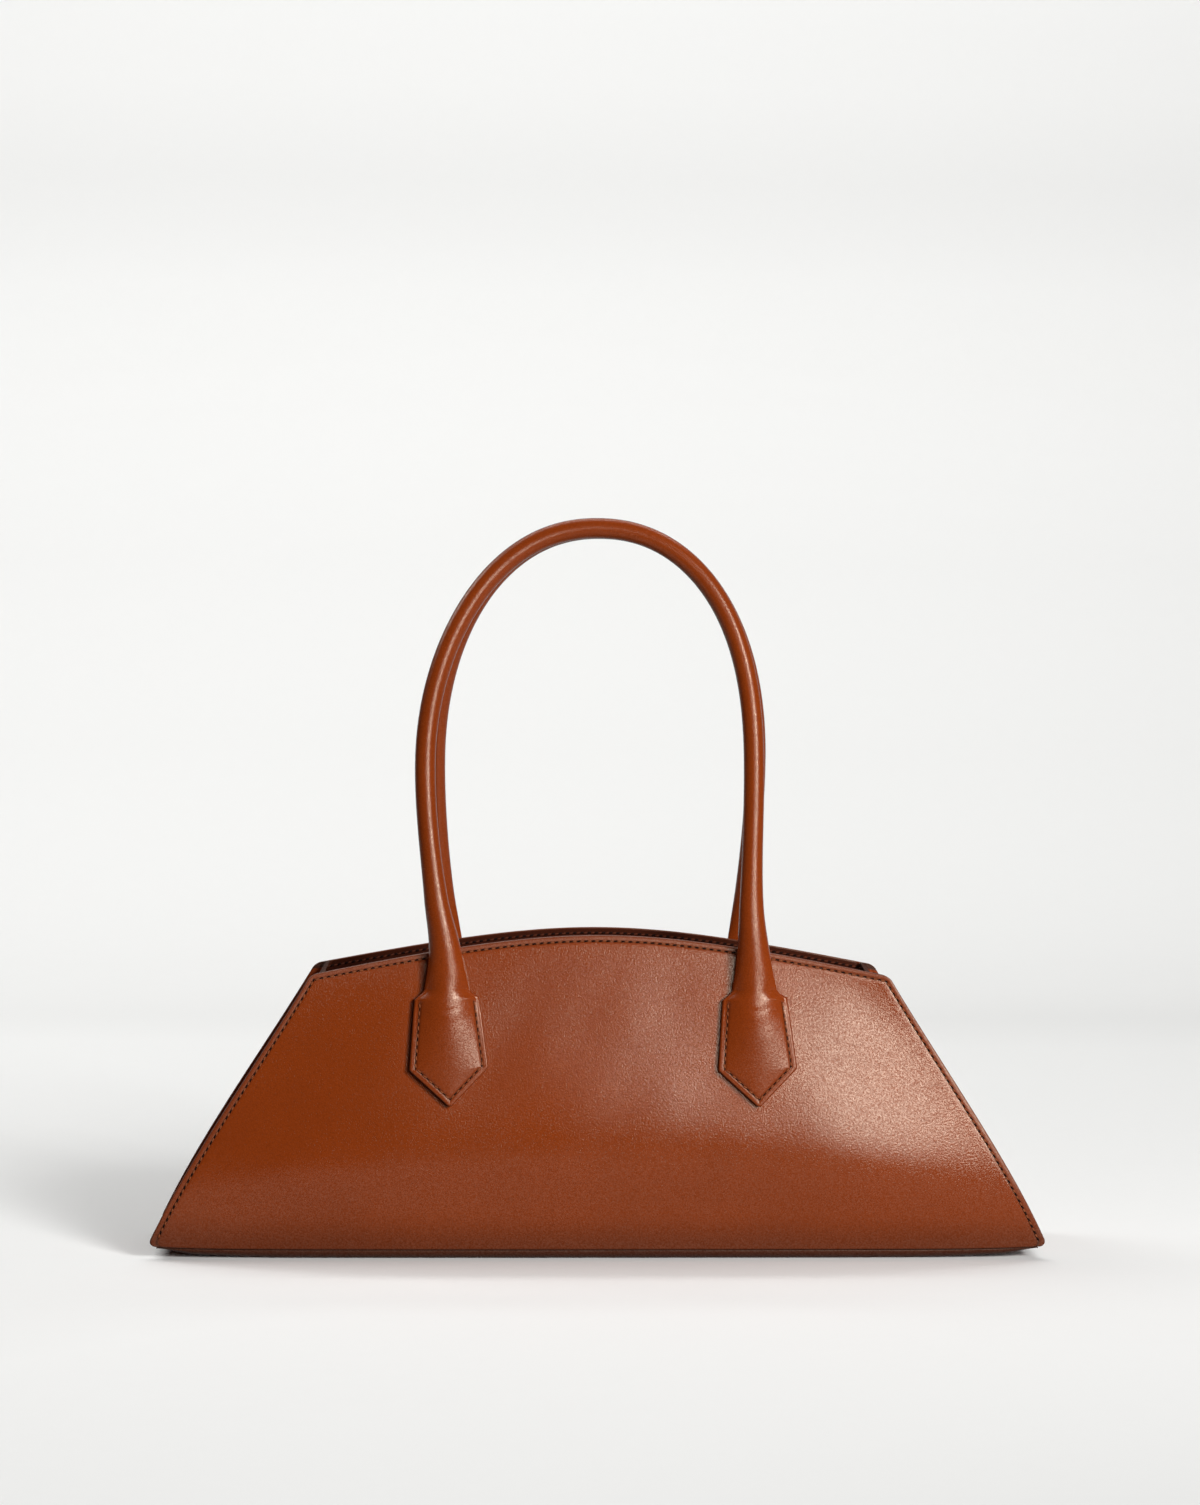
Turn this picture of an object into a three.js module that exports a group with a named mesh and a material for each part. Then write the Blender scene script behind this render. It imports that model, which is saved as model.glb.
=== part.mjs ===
// A long, low leather handbag: a trapezoid body with a crowned mouth, recessed end gussets,
// a rolled base, and two tall rolled handles whose pointed tabs are sewn to the panels.
// Millimetres, +Z up, +X along the bag, the front faces -Y, origin on the floor under the middle.
import * as THREE from "three";

// Outline of the front and back panels
const BASE_LENGTH = 402; // along the bottom edge
const MOUTH_LENGTH = 258.6; // between the top corners
const BODY_HEIGHT = 143.6; // floor to the crown of the top edge
const CORNER_HEIGHT = 126.1; // floor to the top corners
const CROWN_REACH = 71; // half length of the crown's round middle, straighter beyond it
const SIDE_BOW = 2.4; // outward bow of the slanting side edges
const BASE_CORNER_RADIUS = 4;
const MOUTH_CORNER_RADIUS = 2.5;
const CORNER_LIFT = 1.4; // rise of the bottom edge at its two ends
const LIFT_POWER = 10; // how late along the edge that rise begins

// Body from front to back, outside the leather
const BASE_DEPTH = 76; // at the middle of the bottom edge
const MOUTH_DEPTH = 49; // at the middle of the mouth
const END_BASE_DEPTH = 70; // at the bottom corners
const END_MOUTH_DEPTH = 62; // at the top corners
const BELLY = 8.5; // bulge of each panel over the straight line from base to mouth
const BELLY_SKEW = 0.6; // above 0 puts the fullest part under mid height

// Layers of the wall
const PANEL_THICKNESS = 1.8;
const STIFFENER_THICKNESS = 0.8;
const LINING_THICKNESS = 0.6;
const FACING_THICKNESS = 1.2;
const FACING_WIDTH = 24;
const CLEARANCE = 0.3; // between pieces that lie on each other

// End gussets
const GUSSET_THICKNESS = 1.3;
const GUSSET_RECESS = 4.6; // from the panels' side edges in to the web
const GUSSET_DIP = 7; // the web's top edge sinks this far between the panels

// Base
const BASE_THICKNESS = 4;
const BASE_ROLL = 5; // width of the rolled long edge
const BASE_FLAT_LENGTH = 250; // middle part that stands on the floor
const BASE_ROCKER = 2.6; // rise of the underside at its ends
const BOARD_THICKNESS = 2;

// Handles and their tabs
const HANDLE_DIAMETER = 9.2;
const CORE_DIAMETER = 6;
const HANDLE_SPREAD = 147.5; // between the legs where they stand widest
const HANDLE_TOP = 326.4; // floor to the middle of the tube at the crown
const SPREAD_HEIGHT = 219; // floor to the widest place
const FOLD_HEIGHT = 121; // floor to the line where the legs fold
const ARCH_POWER = 2.15; // 2 is an ellipse, more is squarer
const FRONT_SWAY = -5.2; // sideways lean of the loop at its widest place
const BACK_SWAY = -0.8;
const CROWN_SWAY_SHARE = 0.3; // share of that lean left at the crown
const FRONT_TAB_TURN = 2; // degrees that the swaying handle turns its tabs
const BACK_TAB_TURN = 0.3;
const HANDLE_GAP = 0.8; // between the two handles where they meet
const FLARE_LENGTH = 80; // stretch over which a leg widens to its neck
const NECK_WIDTH = 18.8;
const NECK_DEPTH = 10.4;
const NECK_LENGTH = 4.5; // from the fold down to the tab's shoulders
const TAB_SPACING = 137.4;
const TAB_SHOULDER_WIDTH = 29;
const TAB_WIDTH = 35.3; // at the lower corners
const TAB_SIDE = 31; // shoulders to lower corners
const TAB_POINT = 16.2; // lower corners to the point
const TAB_POINT_FLAT = 1.6;
const TAB_THICKNESS = 1.6;
const TAB_RIDGE_LENGTH = 27; // how far the swelling runs down from the shoulders
const TAB_RIDGE_WIDTH = 22;
const TAB_BACKING_THICKNESS = 1.2;
const TAB_BACKING_MARGIN = 0.4; // the backing stops this far inside the tab's edge

// Magnetic snap inside the mouth
const SNAP_DIAMETER = 17;
const SNAP_THICKNESS = 2.4;
const SNAP_DROP = 14; // crown of the mouth to the middle of the snap
const STUD_DIAMETER = 6;
const STUD_HEIGHT = 1.8;
const SNAP_EDGE_RADIUS = 0.6;

// Grid counts
const PANEL_COLUMNS = 18;
const PANEL_ROWS = 12;
const CORNER_STEPS = 3;
const LAYER_COLUMNS = 14;
const LAYER_ROWS = 8;
const FACING_ROWS = 2;
const GUSSET_STEPS = 12;
const WEB_STEPS = 6;
const ROLL_STEPS = 4;
const TUBE_SIDES = 10;
const LEG_STEPS = 9;
const ARCH_STEPS = 22;
const TAB_CROSS_STEPS = 10;
const SNAP_SIDES = 20;

const LEATHER = { color: 0x8a3d17, roughness: 0.42, metalness: 0 };
const INNER_LEATHER = { color: 0x4a1d10, roughness: 0.6, metalness: 0 };
const CLOTH = { color: 0x3a2018, roughness: 0.9, metalness: 0 };
const BOARD = { color: 0x8c7a60, roughness: 0.95, metalness: 0 };
const CORD = { color: 0xd8cbb0, roughness: 0.95, metalness: 0 };
const BRASS = { color: 0xb08d4a, roughness: 0.3, metalness: 1 };

const lerp = THREE.MathUtils.lerp;
const smooth = (t) => THREE.MathUtils.smoothstep(t, 0, 1);
const steps = (n, from = 0, to = 1) => Array.from({ length: n + 1 }, (_, i) => lerp(from, to, i / n));

// Closed solid through rings that all have the same number of points; cap triangulates an end ring.
// The second half of each ring takes the other diagonal, so that a sheet's two faces stay parallel.
function loft(rings, cap) {
  const sides = rings[0].length;
  const points = rings.flat();
  const faces = [];
  for (let r = 0; r + 1 < rings.length; r++) {
    for (let s = 0; s < sides; s++) {
      const a = r * sides + s;
      const b = r * sides + ((s + 1) % sides);
      if (s < sides / 2) faces.push([a, b, b + sides], [a, b + sides, a + sides]);
      else faces.push([a, b, a + sides], [b, b + sides, a + sides]);
    }
  }
  const last = (rings.length - 1) * sides;
  for (const [a, b, c] of cap) faces.push([a, c, b], [last + a, last + b, last + c]);
  return solid(points, faces);
}

// Geometry from points and triangles, turned so that its faces point out.
function solid(points, faces) {
  const volume = faces.reduce((sum, [a, b, c]) => {
    const cross = new THREE.Vector3().crossVectors(points[b], points[c]);
    return sum + points[a].dot(cross);
  }, 0);
  const outward = volume > 0 ? faces : faces.map(([a, b, c]) => [a, c, b]);
  const geometry = new THREE.BufferGeometry().setFromPoints(points);
  geometry.setIndex(outward.flat());
  geometry.computeVertexNormals();
  return geometry;
}

// Cap of a ring by a fan from its first point, for a convex outline.
const fanCap = (sides) => Array.from({ length: sides - 2 }, (_, i) => [0, i + 1, i + 2]);

// Cap of a ring made of two rows of equal length, the second running back over the first.
function stripCap(sides) {
  const faces = [];
  for (let i = 0; i + 1 < sides / 2; i++) {
    const back = sides - 1 - i;
    faces.push([i, i + 1, back - 1], [i, back - 1, back]);
  }
  return faces;
}

// Sheet with two faces: near(i, j) and far(i, j) give the points of its grid.
function sheet(columns, rows, near, far) {
  const rings = columns.map((c) => {
    const there = rows.map((r) => near(c, r));
    const back = rows.map((r) => far(c, r)).reverse();
    return [...there, ...back];
  });
  return loft(rings, stripCap(rows.length * 2));
}

// Crown of the mouth: a hyperbola through both top corners and the middle.
const crownFall = (x) => Math.hypot(1, x / CROWN_REACH) - 1;
const crownScale = (BODY_HEIGHT - CORNER_HEIGHT) / crownFall(MOUTH_LENGTH / 2);
const crownZ = (x) => BODY_HEIGHT - crownScale * crownFall(x);

// Bottom edge of the panels, which stands on the base and rises a little at its ends.
const seamHeight = BASE_THICKNESS + CLEARANCE;
const seamZ = (u) => seamHeight + CORNER_LIFT * Math.abs(u) ** LIFT_POWER;

const sideLength = Math.hypot((BASE_LENGTH - MOUTH_LENGTH) / 2, CORNER_HEIGHT - seamHeight);
const sideCosine = (CORNER_HEIGHT - seamHeight) / sideLength;

// How far a rounded corner takes the side edge in, at a distance s from the corner.
const cornerInset = (radius, s) => (s < radius ? radius - Math.sqrt(radius ** 2 - (radius - s) ** 2) : 0);

// Half length of the wall at the share v of its height, and of a panel with its rounded corners.
const lowBow = (v) => 6.75 * v * (1 - v) ** 2; // 1 at a third of the height, 0 at both ends
const wallX = (v) => lerp(BASE_LENGTH, MOUTH_LENGTH, v) / 2 + SIDE_BOW * lowBow(v);
function panelX(v) {
  const low = cornerInset(BASE_CORNER_RADIUS, v * sideLength);
  const high = cornerInset(MOUTH_CORNER_RADIUS, (1 - v) * sideLength);
  return wallX(v) - low - high;
}

const wallZ = (u, v) => lerp(seamZ(u), crownZ((u * MOUTH_LENGTH) / 2), v);

// Half depth of the body, outside the leather: full in the middle, straight at the ends.
function halfDepth(u, v) {
  const skewed = v * (1 + BELLY_SKEW * (1 - v));
  const middle = lerp(BASE_DEPTH, MOUTH_DEPTH, v) / 2 + BELLY * Math.sin(Math.PI * skewed);
  const end = lerp(END_BASE_DEPTH, END_MOUTH_DEPTH, v) / 2;
  return end + (1 - u * u) * (middle - end);
}

// Point of the front wall at a depth "inset" inside its outer face; t runs from -halfLength to it.
function wall(t, v, inset, halfLength) {
  const x = t * halfLength;
  const u = x / wallX(v);
  return new THREE.Vector3(x, inset - halfDepth(u, v), wallZ(u, v));
}

// Shares (u, v) of the wall point that is seen at x, z from the front.
function wallShares(x, z) {
  let u = 0;
  let v = 0;
  for (let i = 0; i < 30; i++) {
    v = (z - seamZ(u)) / (crownZ((u * MOUTH_LENGTH) / 2) - seamZ(u));
    u = x / wallX(THREE.MathUtils.clamp(v, 0, 1));
  }
  return [u, v];
}
const wallHalf = (x, z) => halfDepth(...wallShares(x, z));

// Share of the height that lies a distance below the top edge, or above the bottom edge.
const shareBelow = (u, drop) => 1 - drop / (crownZ((u * MOUTH_LENGTH) / 2) - seamZ(u));
const shareAbove = (u, rise) => rise / (crownZ((u * MOUTH_LENGTH) / 2) - seamZ(u));

// Depths of the layers inside the outer face
const innerFace = PANEL_THICKNESS + CLEARANCE;
const stiffenerBack = innerFace + STIFFENER_THICKNESS;
const liningFront = stiffenerBack + CLEARANCE;
const liningBack = liningFront + LINING_THICKNESS;
const facingBack = innerFace + FACING_THICKNESS;
const flangeBack = innerFace + GUSSET_THICKNESS;

// Horizontal distances in from the panels' side edges
const webOuter = GUSSET_RECESS / sideCosine;
const webInner = (GUSSET_RECESS + GUSSET_THICKNESS) / sideCosine;
const layerMargin = webInner + CLEARANCE / sideCosine;
const sideLiningInner = layerMargin + LINING_THICKNESS / sideCosine;

// Heights of the layers on the base
const boardTop = BOARD_THICKNESS;
const layerRise = boardTop + CLEARANCE;
const baseLiningTop = layerRise + LINING_THICKNESS;

function panelGeometry() {
  const round = (radius) => steps(CORNER_STEPS, 0, radius / sideLength);
  const low = round(BASE_CORNER_RADIUS);
  const high = round(MOUTH_CORNER_RADIUS).map((s) => 1 - s).reverse();
  const rows = [...low.slice(0, -1), ...steps(PANEL_ROWS, low.at(-1), high[0]), ...high.slice(1)];
  const columns = steps(PANEL_COLUMNS, -1, 1);
  const at = (inset) => (t, v) => wall(t, v, inset, panelX(v));
  return sheet(columns, rows, at(0), at(PANEL_THICKNESS));
}

// Layer behind a panel, from a rise above its bottom edge to a drop below its top edge.
function layerGeometry(front, back, rowCount, shareOf) {
  const columns = steps(LAYER_COLUMNS, -1, 1);
  const at = (inset) => (u, t) => {
    const v = shareOf(u, t);
    return wall(u, v, inset, wallX(v) - layerMargin);
  };
  return sheet(columns, steps(rowCount), at(front), at(back));
}

function behindPanel(front, back) {
  const shareOf = (u, t) => lerp(shareAbove(u, layerRise), shareBelow(u, FACING_WIDTH + CLEARANCE), t);
  return layerGeometry(front, back, LAYER_ROWS, shareOf);
}

function facingGeometry() {
  const shareOf = (u, t) => lerp(shareBelow(u, FACING_WIDTH), 1, t);
  return layerGeometry(innerFace, facingBack, FACING_ROWS, shareOf);
}

// Right gusset: a channel whose flanges lie behind the panels' edges and whose web spans between them.
function gussetGeometry() {
  const edgePoint = (v, inset, depthInset, across) => {
    const x = Math.min(panelX(v), wallX(v) - inset);
    const u = x / wallX(v);
    return new THREE.Vector3(x, across * (halfDepth(u, v) - depthInset), wallZ(u, v));
  };
  const dip = GUSSET_DIP / sideLength;
  const rings = steps(GUSSET_STEPS).map((t) => {
    const at = (inset, depthInset, across) => {
      const top = 1 - dip * (1 - across ** 2) * smooth(inset / webOuter);
      return edgePoint(t * top, inset, depthInset, across);
    };
    const inner = steps(WEB_STEPS, -1, 1).map((across) => at(webInner, innerFace, across));
    const outer = steps(WEB_STEPS, 1, -1).map((across) => at(webOuter, flangeBack, across));
    return [at(0, innerFace, -1), ...inner, at(0, innerFace, 1), at(0, flangeBack, 1), ...outer, at(0, flangeBack, -1)];
  });
  return loft(rings, stripCap(rings[0].length));
}

// Right lining: cloth on the inside of the gusset's web, between the front and back linings.
function sideLiningGeometry() {
  const top = 1 - (GUSSET_DIP + FACING_WIDTH) / sideLength;
  const at = (inset) => (across, t) => {
    const v = lerp(shareAbove(1, layerRise), top, t);
    const x = wallX(v) - inset;
    const u = x / wallX(v);
    return new THREE.Vector3(x, across * (halfDepth(u, v) - liningBack - CLEARANCE), wallZ(u, v));
  };
  return sheet(steps(WEB_STEPS, -1, 1), steps(LAYER_ROWS), at(layerMargin), at(sideLiningInner));
}

// Base: a thick leather plate with rolled long edges whose underside rises towards the ends.
function baseGeometry() {
  const halfLength = panelX(0);
  const rocker = (x) => {
    const past = Math.max(0, Math.abs(x) - BASE_FLAT_LENGTH / 2);
    return BASE_ROCKER * (past / (halfLength - BASE_FLAT_LENGTH / 2)) ** 2;
  };
  const flat = BASE_FLAT_LENGTH / 2 / halfLength;
  const ends = steps(PANEL_COLUMNS / 3, flat, 1);
  const columns = [...ends.map((u) => -u).reverse(), ...ends];
  const rings = columns.map((t) => {
    const x = t * halfLength;
    const u = x / wallX(0);
    const half = halfDepth(u, 0);
    const top = seamZ(u) - CLEARANCE;
    const low = rocker(x);
    const roll = steps(ROLL_STEPS, 0, Math.PI / 2).map((angle) => {
      const y = half - BASE_ROLL * (1 - Math.cos(angle));
      return [y, top - (top - low) * Math.sin(angle)];
    });
    const frontEdge = roll.map(([y, z]) => new THREE.Vector3(x, -y, z));
    const backEdge = roll.map(([y, z]) => new THREE.Vector3(x, y, z)).reverse();
    return [...frontEdge, ...backEdge];
  });
  return loft(rings, fanCap(rings[0].length));
}

// Flat layer on the base, inside the wall: low and high are heights above the bottom edge.
function baseLayerGeometry(low, high, wallInset, endInset) {
  const halfLength = wallX(shareAbove(1, high)) - endInset;
  const columns = steps(LAYER_COLUMNS, -1, 1);
  const at = (rise) => (t, across) => {
    const x = t * halfLength;
    const u = x / wallX(0);
    const half = halfDepth(u, 0) - wallInset;
    return new THREE.Vector3(x, across * half, seamZ(u) + rise);
  };
  return sheet(columns, [-1, 1], at(low), at(high));
}

// Tab: stations down from the fold, each with its half width, crown height and share of flatness.
const tabShoulder = FOLD_HEIGHT - CLEARANCE - NECK_LENGTH;
const tabCorner = tabShoulder - TAB_SIDE;
const tabTip = tabCorner - TAB_POINT;
const tabSeat = CLEARANCE + TAB_BACKING_THICKNESS + CLEARANCE;

function tabHalfWidth(z) {
  if (z > tabShoulder) {
    const up = (z - tabShoulder) / NECK_LENGTH;
    return lerp(TAB_SHOULDER_WIDTH, NECK_WIDTH, Math.sin((up * Math.PI) / 2)) / 2;
  }
  if (z > tabCorner) return lerp(TAB_WIDTH, TAB_SHOULDER_WIDTH, (z - tabCorner) / TAB_SIDE) / 2;
  return lerp(TAB_POINT_FLAT, TAB_WIDTH, (z - tabTip) / TAB_POINT) / 2;
}

// Height of the tab's face over its seat, at x from its middle line.
function tabCrown(x, z, half) {
  const down = THREE.MathUtils.clamp((tabShoulder - z) / TAB_RIDGE_LENGTH, 0, 1);
  const flatness = z > tabShoulder ? 1 - (z - tabShoulder) / NECK_LENGTH : 1;
  const ridge = (NECK_DEPTH - TAB_THICKNESS) * (1 - smooth(down));
  const round = Math.sqrt(Math.max(0, 1 - (x / half) ** 2));
  const bell = Math.cos((Math.PI / 2) * Math.min(1, Math.abs(x) / (TAB_RIDGE_WIDTH / 2))) ** 2;
  return TAB_THICKNESS + ridge * lerp(round, bell, smooth(flatness));
}

// Point over the front wall, turned about the middle of the tab's shoulders.
function tabPoint(centreX, turn, x, z, lift) {
  const angle = THREE.MathUtils.degToRad(turn);
  const down = tabShoulder - z;
  const turnedX = centreX + x * Math.cos(angle) + down * Math.sin(angle);
  const turnedZ = tabShoulder + x * Math.sin(angle) - down * Math.cos(angle);
  return new THREE.Vector3(turnedX, -(wallHalf(turnedX, turnedZ) + lift), turnedZ);
}

function tabGeometry(centreX, turn) {
  const neck = steps(3, FOLD_HEIGHT - CLEARANCE, tabShoulder);
  const ridge = steps(5, tabShoulder, tabShoulder - TAB_RIDGE_LENGTH).slice(1);
  const heights = [...neck, ...ridge, tabCorner, tabTip];
  const rings = heights.map((z) => {
    const half = tabHalfWidth(z);
    const xs = steps(TAB_CROSS_STEPS, -half, half);
    const bend = turn * Math.min(1, (FOLD_HEIGHT - CLEARANCE - z) / NECK_LENGTH);
    const at = (x, lift) => tabPoint(centreX, bend, x, z, tabSeat + lift);
    return [...xs.map((x) => at(x, 0)), ...xs.map((x) => at(x, tabCrown(x, z, half))).reverse()];
  });
  return loft(rings, stripCap(rings[0].length));
}

function tabBackingGeometry(centreX, turn) {
  const heights = [tabShoulder, lerp(tabShoulder, tabCorner, 0.5), tabCorner, tabTip + TAB_BACKING_MARGIN];
  const at = (lift) => (z, across) => {
    const x = across * (tabHalfWidth(z) - TAB_BACKING_MARGIN);
    return tabPoint(centreX, turn, x, z, CLEARANCE + lift);
  };
  return sheet(heights, steps(4, -1, 1), at(0), at(TAB_BACKING_THICKNESS));
}

// Handles stand in a plane that leans in, so that the two meet at the crown.
const handleRadius = HANDLE_DIAMETER / 2;
const neckY = wallHalf(TAB_SPACING / 2, FOLD_HEIGHT) + tabSeat + NECK_DEPTH / 2;
const crownY = handleRadius + HANDLE_GAP / 2;
const lean = Math.atan2(neckY - crownY, HANDLE_TOP - FOLD_HEIGHT);

// Middle line of a handle in its own plane, from the left neck over the crown to the right neck.
function handleLine(sway) {
  const widest = (SPREAD_HEIGHT - FOLD_HEIGHT) / Math.cos(lean);
  const arch = (HANDLE_TOP - SPREAD_HEIGHT) / Math.cos(lean);
  const legs = steps(LEG_STEPS).map((t) => {
    const rise = t ** 1.2;
    return [lerp(TAB_SPACING, HANDLE_SPREAD, smooth(rise)) / 2, rise * widest];
  });
  const power = 2 / ARCH_POWER;
  const half = steps(ARCH_STEPS / 2, 0, Math.PI / 2).map((angle) => {
    const across = Math.cos(angle) ** power;
    return [(HANDLE_SPREAD / 2) * across, widest + arch * Math.sin(angle) ** power];
  });
  const right = [...legs, ...half.slice(1)];
  const left = right.slice(0, -1).map(([x, z]) => [-x, z]);
  return [...left, ...right.reverse()].map(([x, z]) => {
    const up = Math.min(1, z / widest);
    const over = smooth((z - widest) / arch);
    const shift = sway * up * (2 - up) * lerp(1, CROWN_SWAY_SHARE, over);
    return new THREE.Vector3(x + shift, 0, z);
  });
}

// Rings across the middle line; the end rings lie level, so that they face the tabs squarely.
function handleRings(line, halfAcross, halfDeep) {
  return line.map((point, i) => {
    const end = i === 0 || i === line.length - 1;
    const along = line[Math.min(i + 1, line.length - 1)].clone().sub(line[Math.max(i - 1, 0)]).normalize();
    const deep = end ? new THREE.Vector3(0, Math.cos(lean), Math.sin(lean)) : new THREE.Vector3(0, 1, 0);
    const across = end ? new THREE.Vector3(Math.sign(along.z), 0, 0) : new THREE.Vector3(along.z, 0, -along.x);
    return Array.from({ length: TUBE_SIDES }, (_, s) => {
      const angle = (2 * Math.PI * s) / TUBE_SIDES;
      const out = across.clone().multiplyScalar(halfAcross(point.z) * Math.cos(angle));
      return point.clone().add(out).addScaledVector(deep, halfDeep(point.z) * Math.sin(angle));
    });
  });
}

const flare = (z) => Math.max(0, 1 - z / FLARE_LENGTH) ** 3;
const legAcross = (z) => lerp(handleRadius, NECK_WIDTH / 2, flare(z));
const legDeep = (z) => lerp(handleRadius, NECK_DEPTH / 2, flare(z));

// Leather tube with an open bore for the core.
function wrapGeometry(sway) {
  const line = handleLine(sway);
  const bore = CORE_DIAMETER / 2 + CLEARANCE;
  const outer = handleRings(line, legAcross, legDeep);
  const inner = handleRings(line, () => bore, () => bore);
  const closed = [...outer, ...inner.reverse(), outer[0]];
  const points = closed.slice(0, -1).flat();
  const faces = [];
  const count = points.length;
  for (let r = 0; r + 1 < closed.length; r++) {
    for (let s = 0; s < TUBE_SIDES; s++) {
      const a = r * TUBE_SIDES + s;
      const b = r * TUBE_SIDES + ((s + 1) % TUBE_SIDES);
      const next = [(a + TUBE_SIDES) % count, (b + TUBE_SIDES) % count];
      faces.push([a, b, next[1]], [a, next[1], next[0]]);
    }
  }
  return solid(points, faces);
}

function coreGeometry(sway) {
  const line = handleLine(sway);
  const rings = handleRings(line, () => CORE_DIAMETER / 2, () => CORE_DIAMETER / 2);
  return loft(rings, fanCap(TUBE_SIDES));
}

// Snap half as a turned disc, with or without the stud that enters the other half.
function snapGeometry(hasStud) {
  const radius = SNAP_DIAMETER / 2;
  const stud = STUD_DIAMETER / 2;
  const profile = [new THREE.Vector2(0, 0), new THREE.Vector2(radius, 0)];
  profile.push(new THREE.Vector2(radius, SNAP_THICKNESS - SNAP_EDGE_RADIUS));
  profile.push(new THREE.Vector2(radius - SNAP_EDGE_RADIUS, SNAP_THICKNESS));
  const step = hasStud ? STUD_HEIGHT : -Math.min(STUD_HEIGHT, SNAP_THICKNESS - SNAP_EDGE_RADIUS);
  const mouth = hasStud ? stud : stud + CLEARANCE;
  profile.push(new THREE.Vector2(mouth, SNAP_THICKNESS));
  profile.push(new THREE.Vector2(mouth, SNAP_THICKNESS + step));
  profile.push(new THREE.Vector2(0, SNAP_THICKNESS + step));
  return new THREE.LatheGeometry(profile, SNAP_SIDES);
}

const bag = new THREE.Group();
bag.name = "handbag";

function addPiece(parent, name, geometry, finish) {
  const mesh = new THREE.Mesh(geometry, new THREE.MeshStandardMaterial(finish));
  mesh.name = name;
  parent.add(mesh);
  return mesh;
}

// One half of the body, built as the front and turned round for the back.
function addHalf(name, turn, tabTurn) {
  const half = new THREE.Group();
  half.rotation.z = turn;
  bag.add(half);
  addPiece(half, `${name}_panel`, panelGeometry(), LEATHER);
  addPiece(half, `${name}_stiffener`, behindPanel(innerFace, stiffenerBack), BOARD);
  addPiece(half, `${name}_lining`, behindPanel(liningFront, liningBack), CLOTH);
  addPiece(half, `${name}_facing`, facingGeometry(), INNER_LEATHER);
  for (const sign of [-1, 1]) {
    const centreX = (sign * TAB_SPACING) / 2;
    const side = sign * Math.cos(turn) < 0 ? "left" : "right";
    addPiece(half, `${name}_${side}_tab`, tabGeometry(centreX, tabTurn), LEATHER);
    addPiece(half, `${name}_${side}_tab_backing`, tabBackingGeometry(centreX, tabTurn), LEATHER);
  }
  return half;
}

function addHandle(name, turn, sway) {
  const turned = new THREE.Group();
  turned.rotation.z = turn;
  const leaning = new THREE.Group();
  leaning.position.set(0, -neckY, FOLD_HEIGHT);
  leaning.rotation.x = -lean;
  bag.add(turned);
  turned.add(leaning);
  addPiece(leaning, `${name}_handle_wrap`, wrapGeometry(sway), LEATHER);
  addPiece(leaning, `${name}_handle_core`, coreGeometry(sway), CORD);
}

function addSnap(half, name, hasStud) {
  const z = BODY_HEIGHT - SNAP_DROP;
  const slope = wallHalf(0, z - SNAP_DIAMETER / 2) - wallHalf(0, z + SNAP_DIAMETER / 2);
  const snap = addPiece(half, name, snapGeometry(hasStud), BRASS);
  snap.position.set(0, facingBack + CLEARANCE - wallHalf(0, z), z);
  snap.rotation.x = -Math.atan2(slope, SNAP_DIAMETER);
}

const front = addHalf("front", 0, FRONT_TAB_TURN);
const back = addHalf("back", Math.PI, -BACK_TAB_TURN);
addSnap(front, "snap_socket", false);
addSnap(back, "snap_stud", true);
addHandle("front", 0, FRONT_SWAY);
addHandle("back", Math.PI, -BACK_SWAY);

for (const [side, turn] of [["right", 0], ["left", Math.PI]]) {
  const end = new THREE.Group();
  end.rotation.z = turn;
  bag.add(end);
  addPiece(end, `${side}_gusset`, gussetGeometry(), LEATHER);
  addPiece(end, `${side}_lining`, sideLiningGeometry(), CLOTH);
}

addPiece(bag, "base_panel", baseGeometry(), LEATHER);
addPiece(bag, "base_board", baseLayerGeometry(0, boardTop, innerFace, layerMargin), BOARD);
const liningEnd = sideLiningInner + CLEARANCE;
addPiece(bag, "base_lining", baseLayerGeometry(layerRise, baseLiningTop, liningBack + CLEARANCE, liningEnd), CLOTH);

export default bag;
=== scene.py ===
"""Long leather handbag with a crowned mouth and two rolled handles, dressed around its CAD frame.

Shapes are worked out in millimetres, in the frame of the part's own source, and stored in metres.
"""

import math
from functools import partial

import bpy
import numpy as np
from bpy.props import FloatProperty, FloatVectorProperty, PointerProperty
from mathutils import Matrix, Quaternion, Vector


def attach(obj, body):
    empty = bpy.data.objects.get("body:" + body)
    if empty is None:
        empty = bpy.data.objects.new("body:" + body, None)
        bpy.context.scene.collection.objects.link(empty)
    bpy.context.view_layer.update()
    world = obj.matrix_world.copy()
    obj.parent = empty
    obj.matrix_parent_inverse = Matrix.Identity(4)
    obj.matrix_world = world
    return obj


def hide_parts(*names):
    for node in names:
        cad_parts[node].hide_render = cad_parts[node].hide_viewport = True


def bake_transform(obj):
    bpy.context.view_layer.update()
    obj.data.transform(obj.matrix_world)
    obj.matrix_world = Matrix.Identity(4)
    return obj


bl_info = {
    "name": "Crowned Handbag",
    "version": (1, 0, 0),
    "blender": (4, 5, 0),
    "location": "3D View > Sidebar > Handbag",
    "description": "Builds a long leather handbag with rolled handles around its CAD frame",
    "category": "Add Mesh",
}

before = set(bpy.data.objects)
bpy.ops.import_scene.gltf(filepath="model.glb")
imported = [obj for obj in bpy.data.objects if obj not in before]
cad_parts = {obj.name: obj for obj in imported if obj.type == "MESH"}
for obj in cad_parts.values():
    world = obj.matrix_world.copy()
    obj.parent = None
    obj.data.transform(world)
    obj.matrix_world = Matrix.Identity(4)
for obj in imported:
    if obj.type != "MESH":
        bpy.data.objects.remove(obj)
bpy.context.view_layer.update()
MM = 0.001

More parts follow.
